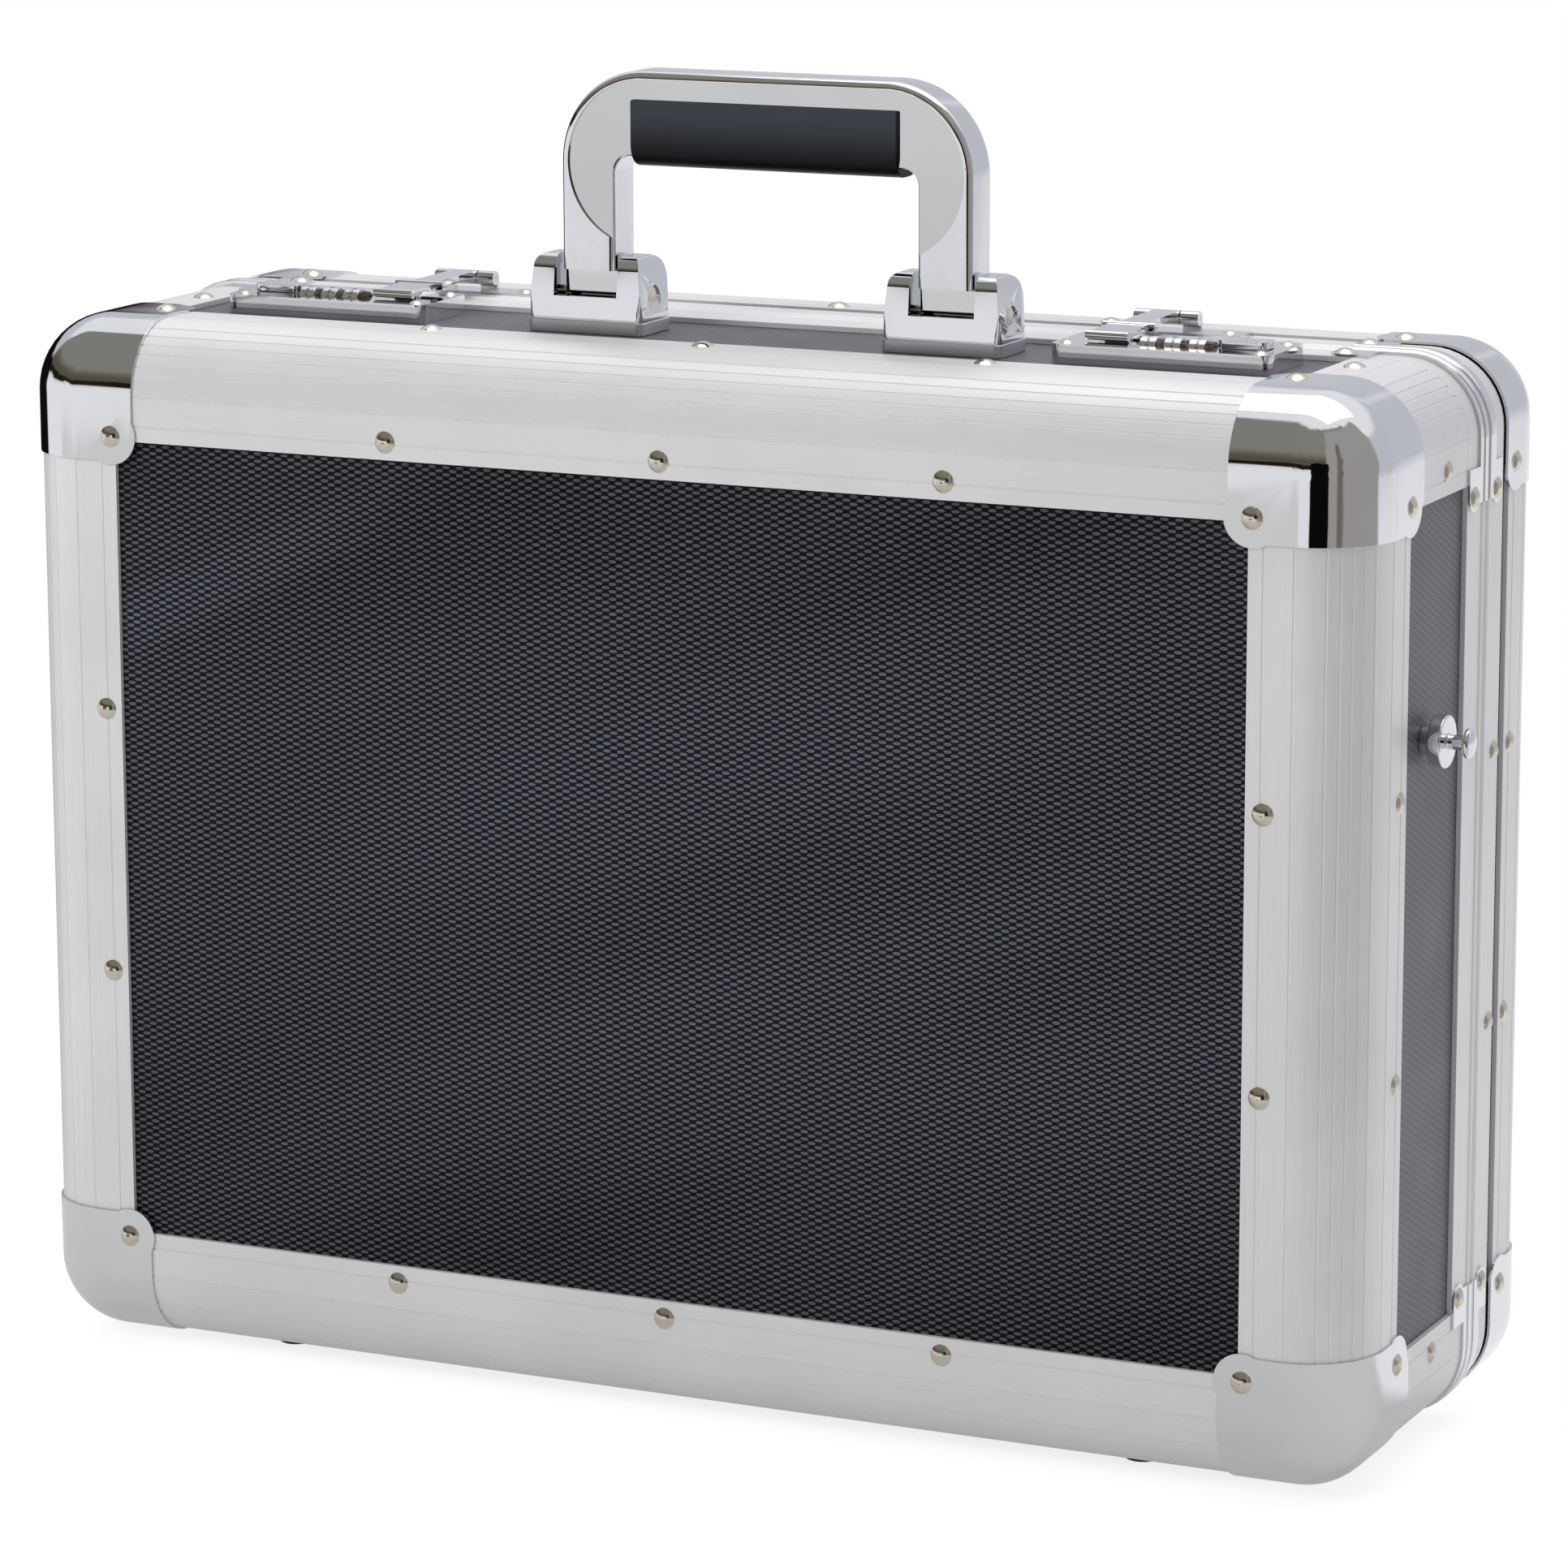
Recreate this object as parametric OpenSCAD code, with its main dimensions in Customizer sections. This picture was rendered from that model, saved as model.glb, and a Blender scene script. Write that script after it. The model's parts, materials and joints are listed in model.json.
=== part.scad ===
// Aluminium-framed laptop hard case: deep base in front, shallow lid behind,
// standing on its hinge side with the handle and the two locks on top.
// Case frame inside the modules: x to the right from the middle, y backwards
// from the front plane, z up from the bottom plane of the edge profiles.

/* [Case] */
// Width over the edge profiles
case_w = 460; // [400:1:520]
// Depth over the edge profiles, front to back
case_d = 165; // [150:1:200]
// Height over the edge profiles
case_h = 336; // [300:1:380]
// Depth of the base, from the front plane to the parting line
base_d = 105.5; // [98:0.5:112]
// Outer radius of the edge profiles
round_r = 24; // [22:0.5:26]

/* [Edge profile] */
// Width of each flange, from the case's outer plane to its free edge
flange_w = 37.3; // [34:0.1:40]
// Thickness of the outer skin
skin_t = 1.6; // [1.2:0.1:2]
// Thickness of the inner legs and webs
leg_t = 1.2; // [1:0.1:1.5]
// How far the panel channel's floor lies from the outer plane
channel_at = 21.6; // [20.5:0.1:23]
// Distance of the fine line from the flange's free edge
line_inset = 4.9; // [3:0.1:6]
// Radius of the fine lines drawn in the skin
line_r = 0.45; // [0.3:0.05:0.6]
// Gap between the mitred ends of two neighbouring lengths
mitre_gap = 0.06; // [0.02:0.02:0.2]

/* [Panels] */
// Thickness of the panels
panel_t = 4; // [3:0.1:5]
// Running gap on each side of a panel in its channel
panel_gap = 0.1; // [0.05:0.05:0.3]

/* [Lip profiles] */
// Where the base lip starts, before the parting line
base_lip_w = 17; // [15:0.5:19]
// Width of the lid lip behind the parting line
lid_lip_w = 18.5; // [16:0.5:19]
// Width of the lid lip's thinner rear step
lid_step_w = 2.5; // [1.5:0.5:4]
// Gap between the two lips
parting_gap = 0.6; // [0.4:0.1:1]
// Radius of the round bead along each lip
bead_r = 2.3; // [1.8:0.1:2.5]
// How far the bead stands out of the skin
bead_out = 0.7; // [0.4:0.1:1]
// How far the base's tongue reaches into the lid's groove
tongue_len = 3.2; // [2:0.1:4]
// Thickness of the tongue
tongue_t = 1.2; // [1:0.1:1.4]

/* [Corner caps] */
// Thickness of the stamped corner caps
cap_t = 0.8; // [0.6:0.1:1]
// How far a cap's legs reach from the outer plane
cap_leg = 43.8; // [40:0.1:46]
// How far a front cap reaches along the depth
cap_deep = 46.5; // [44:0.1:50]
// Inset of a cap's rivet from the two outer planes beside it
cap_rivet = 35.9; // [34:0.1:37]
// Radius of the rounded tab around a cap's rivet
cap_tab_r = 9.1; // [8:0.1:9.5]
// Distance of the rear caps' front rim behind the lid lip
rear_cap_gap = 0.3; // [0.2:0.1:1]

/* [Rivets] */
// Diameter of a rivet's head
rivet_d = 7; // [6:0.1:8]
// Height of a rivet's head
rivet_h = 1.5; // [1:0.1:1.7]
// Diameter of a rivet's shank
shank_d = 3.2; // [2.8:0.1:3.6]
// Clearance between a shank and its hole, on the radius
shank_gap = 0.05; // [0.02:0.01:0.1]
// Inset of the rivet rows from the flange's outer plane
row_inset = 31.7; // [30:0.1:33]
// Spacing of the rivets along the long flanges
row_x = 95; // [80:1:110]
// Height of the side flanges' rivets above and below the middle
row_z = 43.3; // [35:0.1:60]
// Place of the side rivets on the short corner profiles, from the front
depth_rivet_y = 70; // [60:0.5:78]
// Inset of those rivets from the outer plane
depth_rivet_in = 30.2; // [28:0.1:33]
// Inset of the lip brackets' rivets from the outer plane
lip_rivet_in = 41.5; // [38:0.1:45]

/* [Handle] */
// Sideways place of the handle's middle
handle_x = 10; // [-20:1:20]
// Width of the bail over its legs
bail_w = 141; // [125:1:155]
// Height of the bail above its pivot
bail_h = 71.5; // [62:0.5:80]
// Thickness of the bail, front to back
bail_t = 16; // [14.5:0.5:17]
// Width of the bail's legs
leg_w = 18.6; // [16:0.1:20]
// Height of the bail's grip bar
bar_h = 27; // [24:0.5:29]
// Outer corner radius of the bail
bail_r = 29; // [26:0.5:32]
// Radius of the bail's rounded edges
edge_r = 2.5; // [1.5:0.1:3]
// Depth of the flat recess on the bail's faces
face_recess = 0.8; // [0.4:0.1:1.2]
// Width of the rim left around that recess
face_rim = 2.6; // [2:0.1:4]
// Radius in the corners of the bail's opening
bail_inner_r = 5; // [3:0.5:8]
// Length of the soft grip
grip_len = 91; // [80:1:94]
// Height of the pivot above the case's top plane
pivot_up = 10; // [9:0.5:12]
// Height of the bottom edge of the legs above the case's top plane
leg_bottom = 18.2; // [17:0.1:20]
// Diameter of the pivot pins
pivot_d = 4; // [3:0.1:5]
// Radius of the leg's foot around the pin
barrel_r = 4.6; // [4:0.1:5.5]

/* [Handle feet] */
// Width of a foot at its bottom
foot_w = 40; // [38:0.5:42]
// Depth of a foot at its bottom
foot_d = 22; // [21.5:0.5:26]
// Height of a foot's ears above the case's top plane
foot_h = 23; // [21:0.5:25]
// How much narrower a foot gets towards its ears' tops, on each side
foot_taper = 2; // [1:0.5:3]
// Height of the skirt plate under a foot
skirt_h = 4.2; // [3:0.1:5]
// Height of the low wall between the ears, above the top plane
sill_h = 10; // [8:0.1:10]
// Thickness of the low walls in front of and behind the legs
sill_t = 1.6; // [1.2:0.1:2.5]
// Gap between a leg and the ears beside it
leg_gap = 1.7; // [0.6:0.1:2]

/* [Locks] */
// Distance of a lock's inner end from the middle of the case
lock_in = 108; // [100:1:112]
// Length of the lock plate
lock_w = 72; // [70:1:78]
// Depth of the lock plate, front to back
lock_d = 32; // [30:0.5:34]
// Place of the lock plate's front edge, from the front plane
lock_y = 50; // [46:0.5:52]
// Height of the lock plate above the top panel
lock_h = 6.2; // [6:0.1:7]
// Thickness of the lock plate's sheet
lock_t = 1.1; // [0.8:0.1:1.3]
// Pitch of the number dials
dial_pitch = 8; // [7.8:0.1:8.4]
// Radius of a dial's number drum
dial_r = 4.2; // [4:0.05:4.4]
// Radius of a dial's knurled wheel
wheel_r = 3.6; // [3.2:0.05:3.8]
// Width of a dial's knurled wheel
wheel_w = 2.4; // [1.5:0.1:2.6]
// Width of a dial's number drum
drum_w = 5.2; // [4:0.1:5.2]
// Travel of the slide buttons
button_travel = 5; // [3:0.5:6]
// Height of a slide button's cap
button_h = 2.6; // [2:0.1:4]
// Distance of the slide button's middle from the plate's outer end
button_end = 13; // [11.5:0.5:16]

/* [Hasps] */
// Width of a hasp's rear crossbar
hasp_w = 17.4; // [15:0.2:18]
// Place of the hasp's hinge behind the parting line
hasp_y = 4.5; // [4:0.1:6]
// Height of the hasp's hinge above the top plane
hasp_z = 6; // [5.6:0.1:7]
// Radius of the hasp's hinge barrel
hasp_r = 2.3; // [2:0.1:2.6]
// Diameter of the hasp's hinge pin
hasp_pin_d = 1.8; // [1.5:0.1:2]
// Thickness of the hasp's arm
hasp_t = 1.8; // [1.4:0.1:2.2]
// Distance of the hasp's rear crossbar in front of the lock plate's rear edge
rib_in = 4; // [3:0.5:6]

/* [Strap studs] */
// Place of the strap studs from the front plane
stud_y = 57; // [50:1:70]
// Height of the strap studs above the case's mid-height
stud_up = 58; // [0:1:100]
// Diameter of the collar on the panel
stud_collar_d = 9.6; // [8:0.2:12]
// Diameter of the stud's flange
stud_flange_d = 16.4; // [14:0.2:18]
// Diameter of the stud's neck
stud_neck_d = 4.6; // [4:0.2:6]
// Diameter of the stud's head
stud_head_d = 9.2; // [8:0.2:11]

/* [Hinge and lid stays] */
// Length of the piano hinge
hinge_len = 340; // [200:10:344]
// Radius of the hinge's knuckles
knuckle_r = 1.5; // [1.3:0.1:1.6]
// Diameter of the hinge pin
hinge_pin_d = 1.6; // [1.4:0.1:1.8]
// Thickness of the hinge leaves
leaf_t = 0.8; // [0.6:0.1:0.8]
// Width of each hinge leaf from the pin
leaf_w = 12; // [10:0.5:13]
// Number of knuckles
knuckles = 17; // [9:2:25]
// Distance from the hinge pin to each stay pivot, and length of the stay links
stay_len = 62; // [50:1:75]
// Lean of each stay pivot from the parting plane, seen from the hinge pin
stay_lean = 9; // [8:0.5:10]
// Width of a stay link
stay_w = 9; // [7:0.5:11]
// Thickness of a stay link
stay_t = 1.4; // [1:0.1:1.6]

/* [Lining and glides] */
// Thickness of the foam lining
lining_t = 5; // [4:0.5:7]
// Height of the glides under the case
glide_h = 2.6; // [2.5:0.1:4]
// Diameter of a glide
glide_d = 12; // [10:0.5:12.5]
// Sideways place of the glides
glide_x = 150; // [130:5:165]

/* [Hidden] */
$fn = 64;
eps = 0.01;
half_w = case_w / 2;
alu = [0.80, 0.81, 0.83];
chrome = [0.72, 0.73, 0.76];
nickel = [0.78, 0.76, 0.72];
black = [0.12, 0.12, 0.13];
grey = [0.35, 0.35, 0.37];
// Panels: depth of the outer face, of the inner face and of the channel's inner leg
panel_out = skin_t + panel_gap;
panel_in = panel_out + panel_t;
leg_at = panel_in + panel_gap;
wall_in = leg_at + leg_t;
panel_edge = channel_at + 4 * panel_gap;
// Square ends of the mitred lengths stop short of the rounded corner
corner_stop = round_r + 2;
// Lips along the depth
base_lip_y = base_d - base_lip_w;
base_lip_end = base_d - parting_gap / 2;
lid_lip_y = base_d + parting_gap / 2;
lid_lip_end = base_d + lid_lip_w;
lid_step_y = lid_lip_end - lid_step_w;
lip_leg_start = 2;
tongue_in = 3.4;
groove_gap = 0.4;
groove_floor = lid_lip_y + tongue_len + 0.8;
lid_panel_y = groove_floor + leg_t + 0.2;
bead_y = base_lip_end - bead_r;
lid_bead_y = lid_lip_y + bead_r;
// Rivets
rear_rivet = flange_w - 5;
base_bracket_y = base_lip_y + 4.5;
lid_bracket_y = base_d + 9;
lid_row_y = lid_step_y - rivet_d / 2 - 0.2;
strip_w = 2.4;
bracket_tab_r = 4.5;
base_hinge_row = base_d - 7.5;
lid_hinge_row = base_d + 7.5;
small_rivet_d = 4.6;
small_rivet_h = 1;
// Hinge on the outside of the bottom
hinge_z = leaf_t / 8 - leaf_t;
knuckle_gap = 0.15;
rebate = 1;
// Top fittings
top_panel_z = case_h - panel_out;
foot_y = (flange_w + base_lip_y) / 2;
foot_x = bail_w / 2 - leg_w / 2;
pivot_z = case_h + pivot_up;
skirt_top = skirt_h - panel_out;
plate_top = top_panel_z + lock_h;
dial_y = lock_y + 12.5;
dial_z = top_panel_z + dial_r + 0.15;
dial_start = lock_in + 26;
dial_gap = (dial_pitch - wheel_w - drum_w) / 2;
spindle_d = 1.6;
button_x = lock_in + lock_w - button_end;
button_y = lock_y + 14.5;
button_size = [16, 8.5];
stem_size = [6, 4];
pin_reach = foot_w / 2 - foot_taper * (pivot_up - skirt_top) / (foot_h - skirt_top);
pin_head = [6, 1];
dimple_r = 4.5;
dimple_t = 1.2;
foot_round = 2.5;
grip_down = 9;
grip_under = 3;
grip_out = 1;
grip_round = 7;
glide_y = (round_r + flange_w) / 2;
stud_shank_r = 2.4;
hasp_x = lock_in + 15.5;
hasp_axis_y = base_d + hasp_y;
hasp_axis_z = case_h + hasp_z;
hasp_barrel_w = 9;
knuckle_w = 6.1;
hasp_rib_y = lock_y + lock_d - rib_in;
hasp_bar_y = lock_y + 10;
hasp_bar_r = 1.5;
hasp_arm_w = 13;
rib_z = plate_top + 2.6;
bar_z = plate_top + 1.9;
catch_size = [8, 3];
catch_y = lock_y + 19;
catch_in = 1.8;
bracket_t = 1.2;
bracket_w = 48;
bracket_d = 11;
bracket_rivet = 18.5;
bracket_y = lid_lip_y + 2 * bead_r + 0.3;
// Lid stays: links in two layers inside the lips
stay_pin_r = 2;
pin_head_t = 0.8;
stay_gap = 0.3;
stay_y = stay_len * sin(stay_lean);
stay_z = hinge_z + stay_len * cos(stay_lean);
arm_x = half_w - wall_in - stay_gap - stay_t;
link_x = arm_x - stay_gap - stay_t;
// Links, seen from the side: pivots on the base and on the lid, and the joint between the links
stay_p = [base_d - stay_y, stay_z];
stay_q = [base_d + stay_y, stay_z];
stay_k = [base_d, 2 * stay_z - hinge_z];
stud_z = case_h / 2 + stud_up;

// Moves from the case frame to the part's frame: middle of the depth, standing on the glides
module place() translate([0, -case_d / 2, glide_h]) children();

module both_sides() {
    children();
    mirror([1, 0, 0]) children();
}

module top_and_bottom() {
    children();
    translate([0, 0, case_h]) mirror([0, 0, 1]) children();
}

// Drawn for the lower right corner, repeated at all four
module at_corners() both_sides() top_and_bottom() children();

module to_rear() translate([0, case_d, 0]) mirror([0, 1, 0]) children();

// ---- Plane shapes ----
function unit(v) = v / norm(v);
function fillet(before, p, after, r) = let (a = unit(before - p), b = unit(after - p), half = acos(a * b) / 2)
    [p + a * r / tan(half), p + b * r / tan(half), p + unit(a + b) * r / sin(half)];

// Convex outline whose corner i is rounded with radius radii[i]
module rounded(points, radii) {
    n = len(points);
    cuts = [for (i = [0:n - 1]) fillet(points[(i + n - 1) % n], points[i], points[(i + 1) % n], radii[i])];
    polygon([for (i = [0:n - 1]) each (radii[i] > 0 ? [cuts[i][0], cuts[i][1]] : [points[i]])]);
    for (i = [0:n - 1]) if (radii[i] > 0) translate(cuts[i][2]) circle(radii[i]);
}

module rounded_rect(size, r) {
    x = size[0] / 2;
    y = size[1] / 2;
    rounded([[-x, -y], [x, -y], [x, y], [-x, y]], [r, r, r, r]);
}

// ---- Places on the case's faces: a child's +z points out ----
module on_front(x, z, out = 0) translate([x, -out, z]) rotate([90, 0, 0]) children();
module on_top(x, y, out = 0) translate([x, y, case_h + out]) children();
module on_bottom(x, y, out = 0) translate([x, y, -out]) rotate([180, 0, 0]) children();
module on_right(y, z, out = 0) translate([half_w + out, y, z]) rotate([0, 90, 0]) children();

// ---- Rivets ----
module rivet(depth, d = rivet_d, h = rivet_h) {
    dome_r = (d * d / 4 + h * h) / (2 * h);
    intersection() {
        translate([0, 0, h - dome_r]) sphere(dome_r);
        cylinder(h = h + 1, d = d + 1);
    }
    translate([0, 0, -depth]) cylinder(h = depth + eps, d = shank_d);
}

module hole(depth) translate([0, 0, -depth]) cylinder(h = depth + 3, r = shank_d / 2 + shank_gap);

module face_rows() {
    for (x = [-row_x, 0, row_x], z = [row_inset, case_h - row_inset]) on_front(x, z) children();
    both_sides() for (s = [-1, 1]) on_front(half_w - row_inset, case_h / 2 + s * row_z) children();
}

module side_rows(y) both_sides() for (s = [-1, 1]) on_right(y, case_h / 2 + s * row_z) children();

module edge_rows() {
    for (x = [-row_x, 0, row_x]) {
        on_top(x, row_inset) children();
        on_bottom(x, row_inset) children();
    }
    side_rows(row_inset) children();
}

// The three rivets of each cap; the side ones lie at depth y
module cap_spots(y) at_corners() {
    on_front(half_w - cap_rivet, cap_rivet, cap_t) children();
    on_right(y, cap_rivet, cap_t) children();
    on_bottom(half_w - cap_rivet, y, cap_t) children();
}

module depth_spots() at_corners() {
    on_right(depth_rivet_y, depth_rivet_in) children();
    on_bottom(half_w - depth_rivet_in, depth_rivet_y) children();
}

module bracket_spots(y) at_corners() {
    on_right(y, lip_rivet_in, cap_t) children();
    on_bottom(half_w - lip_rivet_in, y, cap_t) children();
}

module lock_spots() both_sides() for (x = [4.5, lock_w - 4.5], y = [4.5, lock_d - 4.5])
    translate([lock_in + x, lock_y + y, plate_top]) children();

module hasp_spots() both_sides() for (s = [-1, 1])
    on_top(hasp_x + s * bracket_rivet, bracket_y + 5.5, bracket_t) children();

module base_rivets() color(nickel) {
    face_rows() rivet(wall_in);
    edge_rows() rivet(wall_in);
    cap_spots(cap_rivet) rivet(wall_in + cap_t);
    depth_spots() rivet(wall_in);
    bracket_spots(base_bracket_y) rivet(wall_in + cap_t);
    lock_spots() rivet(lock_h + panel_t, small_rivet_d, small_rivet_h);
    hinge_spots(base_hinge_row) rivet(leaf_t + panel_in, small_rivet_d, small_rivet_h);
}

module lid_rivets() color(nickel) {
    to_rear() face_rows() rivet(wall_in);
    to_rear() edge_rows() rivet(wall_in);
    to_rear() cap_spots(rear_rivet) rivet(wall_in + cap_t);
    bracket_spots(lid_bracket_y) rivet(wall_in + cap_t);
    side_rows(lid_row_y) rivet(wall_in);
    hasp_spots() rivet(bracket_t + wall_in, small_rivet_d, small_rivet_h);
    hinge_spots(lid_hinge_row) rivet(leaf_t + wall_in, small_rivet_d, small_rivet_h);
}

// Holes for the rivets that pass the base's walls, and the lid's
module base_holes() {
    face_rows() hole(12);
    edge_rows() hole(12);
    cap_spots(cap_rivet) hole(12);
    depth_spots() hole(12);
    bracket_spots(base_bracket_y) hole(12);
    lock_spots() hole(lock_h + panel_t + 1);
    hinge_spots(base_hinge_row) hole(8);
}

module lid_holes() {
    to_rear() face_rows() hole(12);
    to_rear() edge_rows() hole(12);
    to_rear() cap_spots(rear_rivet) hole(12);
    bracket_spots(lid_bracket_y) hole(12);
    side_rows(lid_row_y) hole(12);
    hasp_spots() hole(12);
    hinge_spots(lid_hinge_row) hole(10);
}

// ---- Edge profiles ----
// Section with the outer corner at the origin and both flanges running inward
module edge_section() {
    difference() {
        union() {
            for (m = [0, 1]) mirror([m, -m]) {
                translate([round_r, 0]) square([flange_w - round_r, skin_t]);
                translate([channel_at - leg_t, leg_at]) square([flange_w - 2 - channel_at + leg_t, leg_t]);
                translate([channel_at - leg_t, skin_t * 0.7]) square([leg_t, wall_in - skin_t * 0.7]);
            }
            intersection() {
                translate([round_r, round_r]) difference() {
                    circle(round_r);
                    circle(round_r - skin_t);
                }
                square(round_r);
            }
        }
        for (m = [0, 1]) mirror([m, -m]) {
            translate([flange_w - line_inset, -line_r / 2]) circle(line_r, $fn = 16);
            translate([round_r - 1.2, -line_r / 2]) circle(line_r, $fn = 16);
        }
        for (a = [26, 36, 45, 54, 64])
            translate([round_r, round_r] - (round_r + line_r / 2) * [cos(a), sin(a)]) circle(line_r, $fn = 16);
    }
}

// Length along x with its outer corner on the line y = 0, z = 0, flanges towards +y and -z,
// mitred into its neighbours at both ends
module mitred_profile(length) {
    reach = length / 2 - mitre_gap;
    stop = reach - corner_stop;
    tip = reach - flange_w - 1;
    outline = [[-stop, -1], [stop, -1], [stop, corner_stop], [tip, flange_w + 1], [-tip, flange_w + 1],
        [-stop, corner_stop]];
    intersection() {
        rotate([90, 0, 90]) translate([0, 0, -reach]) linear_extrude(2 * reach) mirror([0, 1]) edge_section();
        translate([0, 0, -flange_w - 2]) linear_extrude(flange_w + 4) polygon(outline);
        rotate([-90, 0, 0]) translate([0, 0, -2]) linear_extrude(flange_w + 4) polygon(outline);
    }
}

module edge_frame() {
    top_and_bottom() mirror([0, 0, 1]) mitred_profile(case_w);
    both_sides() translate([half_w, 0, case_h / 2]) rotate([0, 90, 0]) mitred_profile(case_h);
}

module front_edge_profiles() color(alu) difference() {
    edge_frame();
    base_holes();
}

module rear_edge_profiles() color(alu) difference() {
    to_rear() edge_frame();
    lid_holes();
}

// Quarter-round lengths along the depth, mitred in front and butted on the base lip
module depth_edge_profiles() color(alu) difference() {
    start = corner_stop + mitre_gap;
    outline = [[-1, start], [corner_stop, start], [flange_w + 1, flange_w + 1 + mitre_gap],
        [flange_w + 1, base_lip_y - panel_gap], [-1, base_lip_y - panel_gap]];
    at_corners() intersection() {
        translate([half_w, 0, 0]) rotate([-90, 0, 0]) linear_extrude(base_lip_y)
            mirror([1, 0]) mirror([0, 1]) edge_section();
        translate([half_w, 0, -1]) linear_extrude(flange_w + 2) mirror([1, 0]) polygon(outline);
        translate([half_w + 1, 0, 0]) rotate([0, -90, 0]) linear_extrude(flange_w + 2) polygon(outline);
    }
    base_holes();
}

// ---- Panels ----
module front_panel() color(black) difference() {
    translate([-half_w + panel_edge, panel_out, panel_edge])
        cube([case_w - 2 * panel_edge, panel_t, case_h - 2 * panel_edge]);
    base_holes();
}

module rear_panel() color(black) difference() {
    translate([-half_w + panel_edge, case_d - panel_in, panel_edge])
        cube([case_w - 2 * panel_edge, panel_t, case_h - 2 * panel_edge]);
    lid_holes();
}

// Side, top and bottom walls between the depths y0 and y1
module walls(y0, y1, inset) {
    both_sides() translate([half_w - panel_in, y0, inset]) cube([panel_t, y1 - y0, case_h - 2 * inset]);
    top_and_bottom() translate([-half_w + inset, y0, panel_out]) cube([case_w - 2 * inset, y1 - y0, panel_t]);
}

module base_side_panels() color(black) difference() {
    walls(panel_edge, base_lip_end - skin_t - 2 * panel_gap, panel_edge);
    base_holes();
    stud_spots() translate([0, 0, -10]) cylinder(h = 12, r = stud_shank_r + shank_gap);
}

module lid_side_strips() color(black) difference() {
    walls(lid_panel_y, case_d - panel_edge, round_r + panel_gap);
    lid_holes();
}

// Bent blocks that carry the lid's strips round its corners
module lid_corner_blocks() color(black) at_corners() translate([half_w - round_r, lid_panel_y, round_r])
    rotate([-90, 0, 0]) rotate_extrude(angle = 90)
    translate([round_r - panel_in, 0]) square([panel_t, case_d - panel_edge - lid_panel_y]);

// ---- Lips ----
// Sweeps of a section drawn as x = distance out of the outer plane, y = depth
module lip_corner() translate([half_w - round_r, 0, round_r]) rotate([-90, 0, 0])
    rotate_extrude(angle = 90) translate([round_r, 0]) children();
module lip_side() translate([half_w, 0, round_r]) linear_extrude(case_h - 2 * round_r) children();
module lip_top() translate([half_w - round_r, 0, case_h]) rotate([0, -90, 0])
    linear_extrude(case_w - 2 * round_r) children();

module bead(y) intersection() {
    translate([bead_out - bead_r, y]) circle(bead_r);
    translate([-skin_t, y - bead_r]) square([skin_t + bead_out, 2 * bead_r]);
}

module base_lip_section(bead = true, tongue = true, rebated = false) {
    difference() {
        union() {
            translate([-skin_t, base_lip_y]) square([skin_t, base_lip_end - base_lip_y]);
            translate([-wall_in, base_lip_end - skin_t]) square([wall_in, skin_t]);
            translate([-wall_in, base_lip_y + lip_leg_start])
                square([leg_t, base_lip_end - base_lip_y - lip_leg_start]);
            if (bead) bead(bead_y);
            if (tongue) translate([-tongue_in - tongue_t, base_lip_end - eps])
                square([tongue_t, parting_gap + tongue_len + eps]);
        }
        if (rebated) translate([-rebate, base_d - knuckle_r - 2 * knuckle_gap]) square([rebate + 1, knuckle_r + 1]);
    }
}

module lid_lip_section(bead = true, grooved = true, rebated = false) {
    difference() {
        union() {
            translate([-skin_t, lid_lip_y]) square([skin_t, lid_step_y - lid_lip_y]);
            translate([-skin_t, lid_lip_y]) square([skin_t * 0.6, lid_lip_end - lid_lip_y]);
            translate([-wall_in, lid_lip_y]) square([wall_in, groove_floor + leg_t - lid_lip_y]);
            translate([-wall_in, lid_lip_y]) square([leg_t, lid_lip_end - lid_lip_y - lip_leg_start]);
            if (bead) bead(lid_bead_y);
        }
        if (grooved) translate([-tongue_in - tongue_t - groove_gap, lid_lip_y - 1])
            square([tongue_t + 2 * groove_gap, groove_floor - lid_lip_y + 1]);
        if (rebated) translate([-rebate, base_d - 1]) square([rebate + 1, 1 + knuckle_r + 2 * knuckle_gap]);
    }
}

module base_lip_frame() color(alu) difference() {
    union() {
        both_sides() {
            lip_corner() base_lip_section(tongue = false);
            translate([0, 0, case_h]) mirror([0, 0, 1]) lip_corner() base_lip_section();
            lip_side() base_lip_section();
        }
        lip_top() base_lip_section();
        translate([0, 0, case_h]) mirror([0, 0, 1]) lip_top()
            base_lip_section(bead = false, tongue = false, rebated = true);
    }
    base_holes();
    stay_spots() translate([-1, 0, 0]) rotate([0, 90, 0]) cylinder(h = 4, r = stay_pin_r + shank_gap);
}

module lid_lip_frame() color(alu) difference() {
    union() {
        both_sides() {
            top_and_bottom() lip_corner() lid_lip_section();
            lip_side() lid_lip_section();
        }
        lip_top() lid_lip_section();
        translate([0, 0, case_h]) mirror([0, 0, 1]) lip_top()
            lid_lip_section(bead = false, grooved = false, rebated = true);
    }
    lid_holes();
    lid_stay_spots() translate([-1, 0, 0]) rotate([0, 90, 0]) cylinder(h = 4, r = stay_pin_r + shank_gap);
}

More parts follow.
